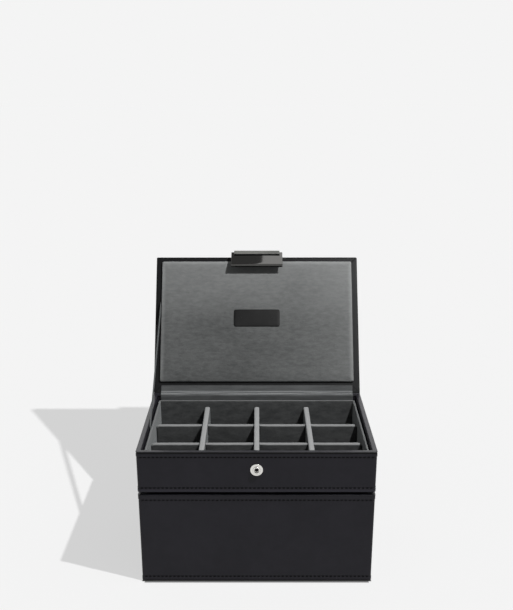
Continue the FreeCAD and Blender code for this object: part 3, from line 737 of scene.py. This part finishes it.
# Pale leather for the tab's turned lip: a painted highlight where the bend catches the light.
LIP_HIGHLIGHT_LEATHER = leather("black_leather_lip_highlight", (0.09, 0.091, 0.084), (0.15, 0.151, 0.14),
                         rough=0.45, specular=0.6, relief=0.08)
THREAD = leather("black_thread", (0.0015, 0.0015, 0.002), (0.004, 0.004, 0.005), rough=0.7, specular=0.08,
                 grain=0.4)
VELVET = velvet("grey_velvet", (0.030, 0.0315, 0.032), (0.34, 0.345, 0.345), nap=4.5,
                stretch=(0.45, 0.45, 1), top_highlight=(0.0, 0.7, 0.88))
# A dimmer copy of the grey velvet for the cross dividers: painted shade.
CROSS_VELVET = velvet("grey_velvet_cross", (0.030, 0.0315, 0.032), (0.27, 0.274, 0.274), nap=4.5,
                      stretch=(0.45, 0.45, 1), top_highlight=(0.1, 0.8, 0.78))
# A darker copy of the grey velvet for the tray's walls: painted shade.
TRAY_VELVET = velvet("grey_velvet_tray", (0.024, 0.0255, 0.026), (0.29, 0.295, 0.295), nap=4.0,
                     stretch=(0.45, 0.45, 1), top_highlight=(0.2, 0.9, 0.38), side_highlight=0.4)
BED_VELVET = velvet("grey_velvet_bed", (0.042, 0.044, 0.045), (0.10, 0.102, 0.103))
STRIP_VELVET = velvet("grey_velvet_strip", (0.043, 0.045, 0.046), (0.29, 0.30, 0.302), nap=5,
                      stretch=(0.2, 1, 1), top_highlight=(0.5, 1.0, 0.62))
LINING = velvet("grey_velvet_lining", (0.035, 0.037, 0.037), (0.36, 0.368, 0.366), nap=2.4,
                stretch=(0.4, 1, 1), gradient=lining_lean_and_edge_highlight, relief=0.12)
# Black felt, made nearly black so that the gap between the storeys, where the plinth shows, is dark:
# partly its own colour, partly painted shade.
FELT = velvet("black_felt", (0.003, 0.003, 0.0035), (0.008, 0.008, 0.009), sheen=0.05, nap=3)
NICKEL = metal("nickel", (0.74, 0.73, 0.70), 0.2)
# Dark nickel for the rivet: painted shade inside the stud's bore.
DARK_NICKEL = metal("dark_nickel", (0.05, 0.047, 0.04), 0.45)
DARK_PLATE = metal("dark_plate", (0.105, 0.103, 0.10), 0.04, scratch=0.01)
PLAQUE = leather("plaque", (0.0035, 0.0035, 0.0035), (0.012, 0.012, 0.012), rough=0.5, specular=0.14,
                 grain=0.6)
RIBBON = velvet("ribbon", (0.075, 0.079, 0.081), (0.17, 0.176, 0.178), sheen=0.2, nap=2)


def lined_board():
    """Black paper over board."""
    made = Finish("lined_board", {"Specular IOR Level": 0.2})
    fibres = made.noise(0.6, detail=4, stretch=(1, 0.3, 1))
    return made.use(base=made.colour((0.01, 0.01, 0.011), (0.02, 0.02, 0.022), fibres),
                    rough=0.75 + (fibres - 0.5) * 0.2, normal=made.bump(fibres, 0.03))


LINED_BOARD = lined_board()

for node, finish in {
    "case_base": LINED_BOARD, "case_deck": LINED_BOARD, "case_front_rail": LEATHER,
    "drawer_glides": FELT, "box_base": LINED_BOARD, "box_plinth": FELT, "drawer_bottom": LINED_BOARD,
}.items():
    for own_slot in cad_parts[node].material_slots:
        own_slot.material = finish


# ---------------------------------------------------------------- leather storeys
def storey_section(foot, rim, depth, crease_depth=0.0):
    """Section of a leather-wrapped wall as (inset, level): down its inside, round its foot, up the
    outside and over the turned rim.

    The doubled leather of each hem stands proud of the panel between them, and its row of stitches
    draws it down. A pressed crease may run below the rim, whose top is nearly flat: it falls by
    0.3 |u|^6 from its middle, with u from -1 to 1 across the wall.
    """
    groove = [(0.7, 0), (0.4, 0.08), (0, 0.4), (-0.4, 0.3), (-0.9, HEM)]    # (towards the hem, inset)
    low_row, high_row = foot + ROWS_UP[0], rim - ROWS_UP[1]
    crease = [(1.9, 0), (1.7, 0.1), (1.5, 0.9), (0.75, 1), (0.55, 0.1), (0.42, 0)]  # (below, share)
    across = np.linspace(-1, 1, 21)
    return [
        run_of(depth, rim - 4, foot, 3), arc((0.45, foot + 0.45), 0.45, 270, 180, 4),
        [(inset, low_row - outward) for outward, inset in groove],
        run_of(HEM, foot + 5.5, rim - 5.5, 9),
        [(inset, high_row + outward) for outward, inset in reversed(groove)],
        [(share * crease_depth, rim - below) for below, share in crease],
        np.stack([depth / 2 * (1 + across), rim - 0.3 * np.abs(across) ** 6], 1),
    ]


def storey_stitches(front, foot, rim, sides):
    """Rows of stitches near the foot and the rim of the named sides. They are sunk a little, and end
    short of the corners."""
    sink, end = 0.36, 3.5
    runs = {
        "front": ((end - HALF_W, front + sink), (HALF_W - end, front + sink), (0, -1, 0)),
        "back": ((HALF_W - end, HALF_D - sink), (end - HALF_W, HALF_D - sink), (0, 1, 0)),
        "left": ((sink - HALF_W, HALF_D - end), (sink - HALF_W, front + end), (-1, 0, 0)),
        "right": ((HALF_W - sink, front + end), (HALF_W - sink, HALF_D - end), (1, 0, 0)),
    }
    return [((*start, level), (*stop, level), outward)
            for side, (start, stop, outward) in runs.items() if side in sides
            for level in (foot + ROWS_UP[0], rim - ROWS_UP[1])]


piece("upper_walls",
      ring(swept(storey_section(UPPER_FOOT, RIM, WALL, RIM_CREASE), rectangle(HALF_W, HALF_D),
                 radius=CORNER, run_steps=60)),
      LEATHER, "upper_box",
      ("box_wall_front", "box_wall_back", "box_wall_left", "box_wall_right"), hand=(45, 0.12, 3))
piece("drawer_front_leather",
      open_ring(swept(storey_section(FOOT, CASE_TOP, FRONT_BOARD),
                      [(-HALF_W, DRAWER_IN_FRONT), (-HALF_W, -HALF_D), (HALF_W, -HALF_D),
                       (HALF_W, DRAWER_IN_FRONT)], closed=False, radius=CORNER, run_steps=60)),
      LEATHER, "drawer", ("drawer_front",), hand=(60, 0.12, 5))
piece("case_walls",
      open_ring(swept(storey_section(FOOT, CASE_TOP, WALL),
                      [(HALF_W, CASE_FRONT), (HALF_W, HALF_D), (-HALF_W, HALF_D),
                       (-HALF_W, CASE_FRONT)], closed=False, radius=CORNER, run_steps=50)),
      LEATHER, "drawer_case", ("case_side_left", "case_side_right", "case_back"),
      hand=(60, 0.12, 7))

for name, front, foot, rim, sides, body in (
        ("upper_stitches", -HALF_D, UPPER_FOOT, RIM, ("front", "back", "left", "right"), "upper_box"),
        ("drawer_stitches", -HALF_D, FOOT, CASE_TOP, ("front",), "drawer"),
        ("case_stitches", CASE_FRONT - 1, FOOT, CASE_TOP, ("back", "left", "right"), "drawer_case")):
    stitches(name, storey_stitches(front, foot, rim, sides), body)

# ---------------------------------------------------------------- felt, drawer boards and pad
piece("foot_felt",
      rounded_box((-FELT_HALF_W, FELT_FRONT, 0), (FELT_HALF_W, FELT_BACK, FOOT), radius=0.4, pitch=12,
                  arc_steps=2),
      FELT, "drawer_case", ("base_pad",))

inner = DRAWER_HALF_W - DRAWER_SIDE
inner_back = DRAWER_BACK - DRAWER_SIDE
for name, x0, x1, y0, y1, foot in (
        ("drawer_side_left", -DRAWER_HALF_W, -inner, DRAWER_IN_FRONT, DRAWER_BACK, DRAWER_UNDER),
        ("drawer_side_right", inner, DRAWER_HALF_W, DRAWER_IN_FRONT, DRAWER_BACK, DRAWER_UNDER),
        ("drawer_back", -inner, inner, inner_back, DRAWER_BACK, DRAWER_UNDER + GLIDE_CLEARANCE)):
    piece(name + "_velvet",
          rounded_box((x0, y0, foot), (x1, y1, DRAWER_WALL_TOP), radius=1.2, pitch=4),
          VELVET, "drawer", (name,), hand=(25, 0.1, 11))

drawer_pad = piece(
    "drawer_pad_velvet",
    rounded_box((PAD_GAP - inner, DRAWER_IN_FRONT + PAD_GAP, DRAWER_FLOOR),
                (inner - PAD_GAP, inner_back - PAD_GAP, DRAWER_FLOOR + DRAWER_PAD),
                radius=0.9, pitch=3.5),
    BED_VELVET, None, ("drawer_pad",))
swollen(drawer_pad, lambda points: points[:, 2] < DRAWER_FLOOR + 1.2, pressure=2.0, cap=0.5)
uneven(drawer_pad, 30, 0.15, 13)
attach(drawer_pad, "drawer")

# ---------------------------------------------------------------- tray
tray_section = [
    run_of(0, TRAY_FLOOR, TRAY_TOP - TRAY_RIM, 8),
    arc((TRAY_RIM, TRAY_TOP - TRAY_RIM), TRAY_RIM, 180, 0, 8),
    run_of(2 * TRAY_RIM, TRAY_TOP - TRAY_RIM, TRAY_FLOOR, 8),
]
piece("tray_walls",
      ring(swept(tray_section, rectangle(TRAY_OUT_W, TRAY_OUT_D), radius=1.6, run_steps=50)),
      TRAY_VELVET, "upper_box",
      ("tray_wall_front", "tray_wall_back", "tray_wall_left", "tray_wall_right"),
      hand=(30, 0.12, 17))
piece("tray_bed",
      rounded_box((-TRAY_IN_W, -TRAY_IN_D, TRAY_FLOOR), (TRAY_IN_W, TRAY_IN_D, TRAY_GROUND),
                  radius=0.5, pitch=3),
      BED_VELVET, "upper_box", ("tray_floor",), hand=(25, 0.12, 19))


def divider_section():
    """Across a divider: (inset, offset), flat in its middle and rounded at both faces' edges."""
    flat, rounding = DIVIDER / 2 + PILE - DIVIDER_ROUNDING, DIVIDER_ROUNDING
    return [arc((rounding, -flat), rounding, 270, 180), arc((rounding, flat), rounding, 180, 90)]


def notched(half_length, top, slots, from_top):
    """A divider's side as an outline with half-lap slots, inside on the left, and its corner radii:
    the upper ends are rounded."""
    half_slot = DIVIDER / 2 + LAP_GAP
    corners = [(-half_length, TRAY_GROUND)]
    if not from_top:
        for line in slots:
            corners += [(line - half_slot, TRAY_GROUND), (line - half_slot, LAP + LAP_GAP),
                        (line + half_slot, LAP + LAP_GAP), (line + half_slot, TRAY_GROUND)]
    corners += [(half_length, TRAY_GROUND), (half_length, top)]
    if from_top:
        for line in reversed(slots):
            corners += [(line + half_slot, top), (line + half_slot, LAP), (line - half_slot, LAP),
                        (line - half_slot, top)]
    corners.append((-half_length, top))
    upper_ends = ((half_length, top), (-half_length, top))
    return corners, [DIVIDER_END if corner in upper_ends else 0.0 for corner in corners]


def divider(name, half_length, top, slots, from_top, place, finish, seed):
    """One divider: its outline with the section's rounding all round, put where place moves it."""
    corners, radii = notched(half_length, top, slots, from_top)
    points = swept(divider_section(), corners, radii=radii, run_steps=6, plane="YZ")
    piece(name + "_velvet", bar(place(points)), finish, "upper_box", (name,),
          hand=(20, 0.1, seed))


for number, line in enumerate(COLUMN_LINES, 1):
    divider("divider_long_%d" % number, TRAY_IN_D, LONG_TOP, ROW_LINES, False,
            lambda points: points + (line, 0, 0), VELVET, 20 + number)
for number, line in enumerate(ROW_LINES, 1):
    divider("divider_cross_%d" % number, TRAY_IN_W, CROSS_TOP, COLUMN_LINES, True,
            lambda points: points[..., [1, 0, 2]] * (1, -1, 1) + (0, line, 0), CROSS_VELVET,
            30 + number)

# ---------------------------------------------------------------- lid
# The board's leather from the middle of its outer face, over its edge, to the middle under the lining.
# The row of stitches draws the outer face down.
lid_section = [
    [(inset, LID_TOP) for inset in (HALF_D, 40, 20, 8, STITCH_INSET + 1)],
    [(STITCH_INSET + 0.5, LID_TOP - 0.02), (STITCH_INSET, LID_TOP - 0.14),
     (STITCH_INSET - 0.5, LID_TOP - 0.02), (STITCH_INSET - 1, LID_TOP)],
    arc((1, LID_TOP - 1), 1, 90, 180, 6), arc((0.5, LID_UNDER + 0.5), 0.5, 180, 270, 4),
    [(inset, LID_UNDER) for inset in (2, 5.5, 12, 40, HALF_D)],
]
piece("lid_leather",
      skin(opened(swept(lid_section, rectangle(HALF_W, HALF_D), radius=1.1, run_steps=60))),
      LID_LEATHER, "lid", ("lid_board",), hand=(45, 0.08, 41))

# The front row stops at the tab, and the side rows start one stitch from the corners.
edge, side = HALF_D - STITCH_INSET, HALF_W - STITCH_INSET
lid_rows = (
    ((-side, -edge), (-TAB_HALF - 2, -edge)), ((TAB_HALF + 2, -edge), (side, -edge)),
    ((side, 3 - edge), (side, edge - 3)), ((side, edge), (-side, edge)),
    ((-side, edge - 3), (-side, 3 - edge)),
)
stitches("lid_stitches", [((*start, LID_TOP - 0.2), (*end, LID_TOP - 0.2), (0, 0, 1))
                          for start, end in lid_rows], "lid", place=opened)

lining = piece(
    "lining_velvet",
    [shell(opened(grid[0]), *grid[1:]) for grid in rounded_box(
        (-LINING_X, LINING_Y[0], LINING_FACE), (LINING_X, LINING_Y[1], LID_UNDER), radius=1.4,
        pitch=2.5)],
    LINING, None, ("lid_lining",))


def lining_held(points):
    """The lining's back, its edges and the place under the plaque are held to the board."""
    shut = turned(points, HINGE, LID_OPEN)
    plaque = (abs(shut[:, 0]) < PLAQUE_HALF[0]) & (abs(shut[:, 1] - PLAQUE_Y) < PLAQUE_HALF[1])
    return (shut[:, 2] > LINING_FACE + 0.7) | plaque


swollen(lining, lining_held, pressure=2.0, cap=0.45)
uneven(lining, 35, 0.16, 43)
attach(lining, "lid")

plaque_section = [
    [(PLAQUE_HALF[1], LINING_FACE + 0.2), (0, LINING_FACE + 0.2)],
    arc((0.4, LINING_FACE - 0.6), 0.4, 180, 270, 4),
    [(3, LINING_FACE - 1.0), (PLAQUE_HALF[1], LINING_FACE - 1.0)],
]
piece("plaque_leather",
      skin(opened(swept(plaque_section, rectangle(*PLAQUE_HALF, PLAQUE_Y), radius=1.6, run_steps=10))),
      PLAQUE, "lid", ("lid_plaque",))


# ---------------------------------------------------------------- hinge
def hinge_velvet_line():
    """The velvet strip's middle line: up from behind the tray, over a roll at the rim and up the open
    lid. Its lower end and its roll are the box's, its upper end is the lid's."""
    lid_face = np.array(HINGE) + np.array(LID_OUT) * STRIP_OFF
    up = np.array(LID_UP)
    return bent_line([(STRIP_Y, STRIP_FOOT), (STRIP_Y, ROLL_TOP), lid_face + up * 0.2,
                      lid_face + up * STRIP_REACH], [2.2, 2.6], pitch=0.3)


def pleated(points, length, seed):
    """Small pleats that run along X, on a strip of that length: each place moves off the line by sines
    of its distance along it, whose phase wanders along X. They are free where the strip rolls over,
    and gathered at its two sides."""
    rng = np.random.default_rng(seed)
    place = np.linspace(0, 1, len(points))[:, None]
    x = points[..., 0]
    fold = 0
    for pitch, amount in ((2.4, 0.22), (1.5, 0.12), (4.1, 0.16)):
        wander = sum(np.sin(x / size + phase) * 0.5 for size, phase in
                     zip(rng.uniform(5, 22, 3), rng.uniform(0, 6, 3)))
        fold = fold + amount * np.sin(2 * math.pi * place * length / pitch + wander)
    free = np.sin(math.pi * place) ** 0.5 * (0.3 + 0.7 * np.exp(-((place - 0.52) / 0.16) ** 2))
    fold = fold + 0.35 * np.sin(2 * math.pi * x / 2.9) * np.exp((np.abs(x) - TRAY_IN_W) / 3.0)
    result = points.copy()
    result[..., 1] -= fold * free * 0.6
    result[..., 2] += fold * free * 0.8
    return result


velvet_line = hinge_velvet_line()
velvet_length = np.linalg.norm(np.diff(velvet_line, axis=0), axis=1).sum()
velvet_strip = strip(velvet_line, TRAY_IN_W, STRIP_THICK, rows=110)
hinge_velvet = piece("hinge_velvet", bar(pleated(velvet_strip, velvet_length, 47)), STRIP_VELVET,
                     None, ("hinge_lining",))
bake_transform(hinge_velvet)

leather_line = bent_line([(HINGE[0], OUTER_FOOT), (HINGE[0], OUTER_BEND),
                          at(HINGE[0], OUTER_TOP, opened)], [OUTER_THICK], pitch=0.5)
hinge_leather = piece("hinge_leather", bar(strip(leather_line, HALF_W, OUTER_THICK, rows=60)),
                      LEATHER, None, ("hinge_leather_box", "hinge_leather_lid"))
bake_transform(hinge_leather)


def ribbon_grid():
    """The stay ribbon: flat, edge on to the front, from the box's left gap to the open lid, with the
    two points between which it bends.

    Along its length it waves a little across, by 0.02 times the sine of its place. Its upper end is
    cut aslant, along the lid, and both ends run on under what they are sewn to.
    """
    start, end = np.array(RIBBON_BOX), np.array(RIBBON_LID)
    along = (end - start) / np.linalg.norm(end - start)
    off = np.array([-along[1], along[0]])
    place = np.linspace(0, 1, 90)[:, None]
    near_edge = RIBBON_HALF - 0.1
    across = np.array([-RIBBON_HALF, -near_edge, 0, near_edge, RIBBON_HALF, near_edge, 0, -near_edge])
    thick = np.array([0, 0.17, 0.2, 0.17, 0, -0.17, -0.2, -0.17])
    x = RIBBON_X + thick + 0.02 * np.sin(place * 9) + 0 * across
    slant = math.tan(math.radians(RIBBON_SLANT)) * across * place
    reach = start + (end - start) * place
    y = reach[:, :1] + off[0] * across + along[0] * slant
    z = reach[:, 1:] + off[1] * across + along[1] * slant
    return np.stack([x, y, z], -1), start, start + (end - start) * 0.9


ribbon_points, ribbon_start, ribbon_end = ribbon_grid()
ribbon = piece("stay_ribbon_weave", bar(ribbon_points), RIBBON, None, ("stay_ribbon",))
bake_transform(ribbon)


# ---------------------------------------------------------------- closing tab
def step_along(start, end, distance):
    """A point that far from start towards end, in metres, on the middle plane."""
    start, end = np.array(start), np.array(end)
    point = start + (end - start) / np.linalg.norm(end - start) * distance
    return (0, *(point * MM))


def tab_leather(name, points, knuckle, replaces):
    """A length of the tab's leather, with a rounded knuckle at its middle point."""
    line = bent_line(points, [knuckle], pitch=0.8)
    return piece(name, bar(strip(line, TAB_HALF, TAB_LEATHER, edge=0.5)), STRAP_LEATHER,
                 None, replaces)


lift = at(*LIFT_LINE, opened)
fold = at(*FOLD_LINE, relaxed)
half_strap = at((LIFT_LINE[0] + FOLD_LINE[0]) / 2, (LIFT_LINE[1] + FOLD_LINE[1]) / 2, relaxed)
root_end = at(TAB_ROOT_Y, LIFT_LINE[1], opened)
tongue_end = at(FOLD_LINE[0], TONGUE_FOOT, hanging)

root = tab_leather("tab_root_leather", [root_end, lift, half_strap], 1.5, ("tab_root", "tab_strap"))
step_along(lift, root_end, 1.4)
step_along(lift, half_strap, 1.4)
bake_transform(root)
tongue = tab_leather("tab_tongue_leather", [half_strap, fold, tongue_end], 1.3, ("tab_tongue",))
step_along(fold, half_strap, 1.4)
step_along(fold, tongue_end, 1.4)
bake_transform(tongue)


def plate_points():
    """The metal plate: its section across the tab, with a lip turned under at its foot, drawn along X.

    Its face is bowed 0.15 proud along X, as 1 - (x / half)^2.
    """
    face = TONGUE_FACE - PLATE_THICKNESS
    lip = PLATE_FOOT + PLATE_THICKNESS
    corners = [(face, PLATE_FOOT), (TONGUE_BACK, PLATE_FOOT), (TONGUE_BACK, lip), (TONGUE_FACE, lip),
               (TONGUE_FACE, PLATE_TOP), (face, PLATE_TOP)]
    radii = [1.28, 0.7, 0.2, 0.0, 0.2, 0.45]
    left = arc((0.3, -PLATE_HALF + 0.3), 0.3, 270, 180, 4)
    right = arc((0.3, PLATE_HALF - 0.3), 0.3, 180, 90, 4)
    between = run_of(0, -PLATE_HALF + 1, PLATE_HALF - 1, 16)
    points = swept([left, between, right], corners, radii=radii, arc_steps=7, run_steps=8, plane="YZ")
    bow = 0.15 * (1 - (points[..., 0] / PLATE_HALF) ** 2)
    points[..., 1] -= np.where(points[..., 1] < face + 0.4, bow, 0)
    return points


piece("tab_plate_metal", bar(hanging(plate_points())), DARK_PLATE, "tab_end",
      ("tab_plate",))
# The turned leather lies on the plate's upper edge, pale as a painted highlight, and a black strip below
# it is painted shade.
lip_face = TONGUE_FACE - PLATE_THICKNESS - 0.55
lip_line = bent_line([(-66.5, PLATE_TOP + 1.8), (lip_face, PLATE_TOP + 0.9),
                      (lip_face, PLATE_TOP - 3.5)], [0.9], pitch=0.4)
piece("tab_lip_leather", bar(hanging(strip(lip_line, TAB_HALF, 0.8, edge=0.4))), LIP_HIGHLIGHT_LEATHER,
      "tab_end")
# A black strip under the lip's lower end: painted shade for the slot beneath it.
lip_shade_line = [(lip_face + 0.1, PLATE_TOP - below) for below in (3.4, 3.8, 4.15)]
piece("tab_lip_shade_line", bar(hanging(strip(lip_shade_line, TAB_HALF, 0.6, edge=0.3))), THREAD,
      "tab_end")

# ---------------------------------------------------------------- press stud
# Profiles are (radius, distance in front of the wall or of the tongue's back).
stud_profile = [
    (1.6, 0.0), (4.8, 0.0), (4.8, 0.25), *arc((4.45, 0.25), 0.35, 10, 90, 4), (3.4, 0.72), (2.75, 0.85),
    (2.55, 1.2), *arc((2.62, 1.55), 0.45, -40, 150, 8), (2.0, 1.7), (1.9, 1.3), (1.85, 0.3), (1.6, 0.25),
]
piece("stud_metal", ring(spun(stud_profile, (0, -HALF_D, STUD_Z))), NICKEL, "upper_box",
      ("stud",))
rivet_profile = [
    (1.0, -4.6), (3.3, -4.55), (3.5, -4.3), (3.5, -4.0), (1.5, -4.0), (1.5, 0.3), (1.4, 0.5), (1.1, 0.45),
    (1.0, 0.2),
]
piece("rivet_metal", ring(spun(rivet_profile, (0, -HALF_D, STUD_Z), steps=32)), DARK_NICKEL,
      "upper_box", ("stud_rivet",))
socket_profile = [
    (0, 1.55), (1.5, 1.55), (1.5, 0.0), (5.0, 0.0), (5.2, -0.3), (5.2, -1.45), (4.85, -1.8), (3.75, -1.8),
    (3.4, -1.45), (3.35, -0.6), (0, -0.55),
]
piece("socket_metal", skin(hanging(spun(socket_profile, (0, TONGUE_BACK, STUD_Z), steps=40))),
      NICKEL, "tab_end", ("snap_socket",))

# ---------------------------------------------------------------- stage, light and camera
SKY, BACKGROUND, SHADOW_DEPTH, KEY = 0.22, 0.905, 0.25, 1.0
OVERHEAD = 0.25                     # brightness of the sky overhead, in reflections
KEY_PLACE = (0.2323, -0.1986, 0.6139)
CONTACT_SHADOW = (0.9, 2.7)                # mm past the front over which the painted contact shadow there fades out
GLOW = (0.03, 0.07, 0.9)            # shares of the floor's glow: always, off the box, off that line
UNDER_SHADE = 0.45                  # share of the floor's colour that is left under the box
PANEL_HEIGHT, PANEL_RIGHT = 1.2, 0.7
PANEL_NEAR, PANEL_FAR = (-0.023, 0.15), (0.052, 0.75)   # its left corners


def seen_directly(made):
    """1 for what the camera sees itself, in a reflection or through glass, and 1 for the last two."""
    path = made.node("ShaderNodeLightPath").outputs
    reflected = made.highest(path["Is Glossy Ray"], path["Is Transmission Ray"])
    return made.highest(path["Is Camera Ray"], reflected), reflected


def floor_finish():
    """A pale floor whose lit part and own glow always add up to the background.

    The key lamp doesn't fade with distance, so its light on the floor is KEY * height / distance. The
    floor's colour is the shadow's depth over that light, so a shadow is equally deep everywhere, and the
    glow that the camera and reflections see is the background less colour times light. Under the box, and
    close along its front and back as far as the felt reaches, the glow is nearly gone and the floor's
    colour is lowered: a painted contact shadow.
    """
    made = Finish("pale_floor")
    right, back = made.along((1, 0, 0)), made.along((0, 1, 0))
    x, y = right * MM - KEY_PLACE[0], back * MM - KEY_PLACE[1]
    distance = (x * x + y * y + KEY_PLACE[2] ** 2) ** 0.5
    key = KEY * KEY_PLACE[2] / distance
    shade = made.lowest(SHADOW_DEPTH / key, 0.8)
    glow = BACKGROUND - shade * (key + SKY)
    # Painted contact shadow under the box and along its front and back.
    past_front = abs(back) - HALF_D
    off_box = made.ramp(made.highest(abs(right) - HALF_W, past_front), -0.2, 0.2)
    off_line = made.highest((abs(right) - FELT_HALF_W) * 2, past_front)
    clear = made.ramp(off_line, *CONTACT_SHADOW) * off_box
    glow = glow * (clear * GLOW[2] + off_box * GLOW[1] + GLOW[0])
    shade = shade * (clear * (1 - UNDER_SHADE) + UNDER_SHADE)
    seen = seen_directly(made)[0]
    grey = made.node("ShaderNodeCombineColor", {}, {0: shade, 1: shade, 2: shade}).outputs[0]
    lit = made.node("ShaderNodeBsdfDiffuse", {}, {"Color": grey}).outputs[0]
    own = made.node("ShaderNodeEmission", {}, {"Color": (1, 1, 1), "Strength": glow * seen}).outputs[0]
    return made.end_with(made.node("ShaderNodeAddShader", {}, {0: lit, 1: own}))


def make_floor():
    """A flat disc under the box, as rings about its middle."""
    radius = np.array([0, 0.4, 1, 2, 4, 9])[:, None]
    angle = np.linspace(0, 2 * math.pi, 64, endpoint=False)
    points = np.stack([radius * np.cos(angle), radius * np.sin(angle), 0 * radius * angle], -1) / MM
    floor = placed("floor", mesh_of("floor", skin(points)))
    if floor.data.polygons[0].normal.z < 0:
        floor.data.flip_normals()
    floor.data.materials.append(floor_finish())


def make_sky():
    """Even light from all round. Overhead it is dim in reflections, where the panel hangs."""
    world = bpy.data.worlds.new("studio")
    bpy.context.scene.world = world
    made = Finish("studio", owner=world)
    seen, reflected = seen_directly(made)
    overhead = made.ramp(made.part("Generated", "Z"), 0.55, 0.85) * reflected
    strength = SKY + seen * (BACKGROUND - SKY) - overhead * (BACKGROUND - OVERHEAD)
    made.end_with(made.node("ShaderNodeBackground", {}, {"Color": (1, 1, 1), "Strength": strength}),
                  "World")


def make_lamp():
    """One small lamp at the front right, whose light doesn't fade with distance."""
    lamp = bpy.data.lights.new("key", "POINT")
    lamp.energy = 4 * math.pi ** 2
    lamp.shadow_soft_size = 0.006
    made = Finish("key", owner=lamp)
    steady = made.node("ShaderNodeLightFalloff", {}, {"Strength": KEY}).outputs["Constant"]
    made.end_with(made.node("ShaderNodeEmission", {}, {"Strength": steady}), "Light")
    placed("key", lamp).location = KEY_PLACE


def make_panel():
    """A pale flat sheet over the right half of the box, its left edge aslant. It shows only in
    reflections."""
    corners = [[(*left, PANEL_HEIGHT), (PANEL_RIGHT, left[1], PANEL_HEIGHT)]
               for left in (PANEL_NEAR, PANEL_FAR)]
    panel = placed("panel", mesh_of("panel", [shell(np.array(corners) / MM)]))
    made = Finish("panel_glow")
    panel.data.materials.append(made.end_with(made.node("ShaderNodeEmission", {}, {"Strength": 1.75})))
    panel.visible_camera = panel.visible_diffuse = panel.visible_shadow = False


def make_camera():
    """Stands in front and above, looking a little down, with its frame shifted up."""
    lens = bpy.data.cameras.new("camera")
    lens.lens = 52.19
    lens.sensor_width = 36
    lens.sensor_fit = "AUTO"
    lens.shift_y = 0.164
    lens.clip_start = 0.01
    camera = placed("camera", lens)
    camera.location = (0.0011, -0.66197, 0.37803)
    camera.rotation_euler = np.radians((90 - 20.964, 0.046, 0.092))
    bpy.context.scene.camera = camera


make_floor()
make_sky()
make_lamp()
make_panel()
make_camera()
bpy.context.scene.view_settings.view_transform = "Standard"
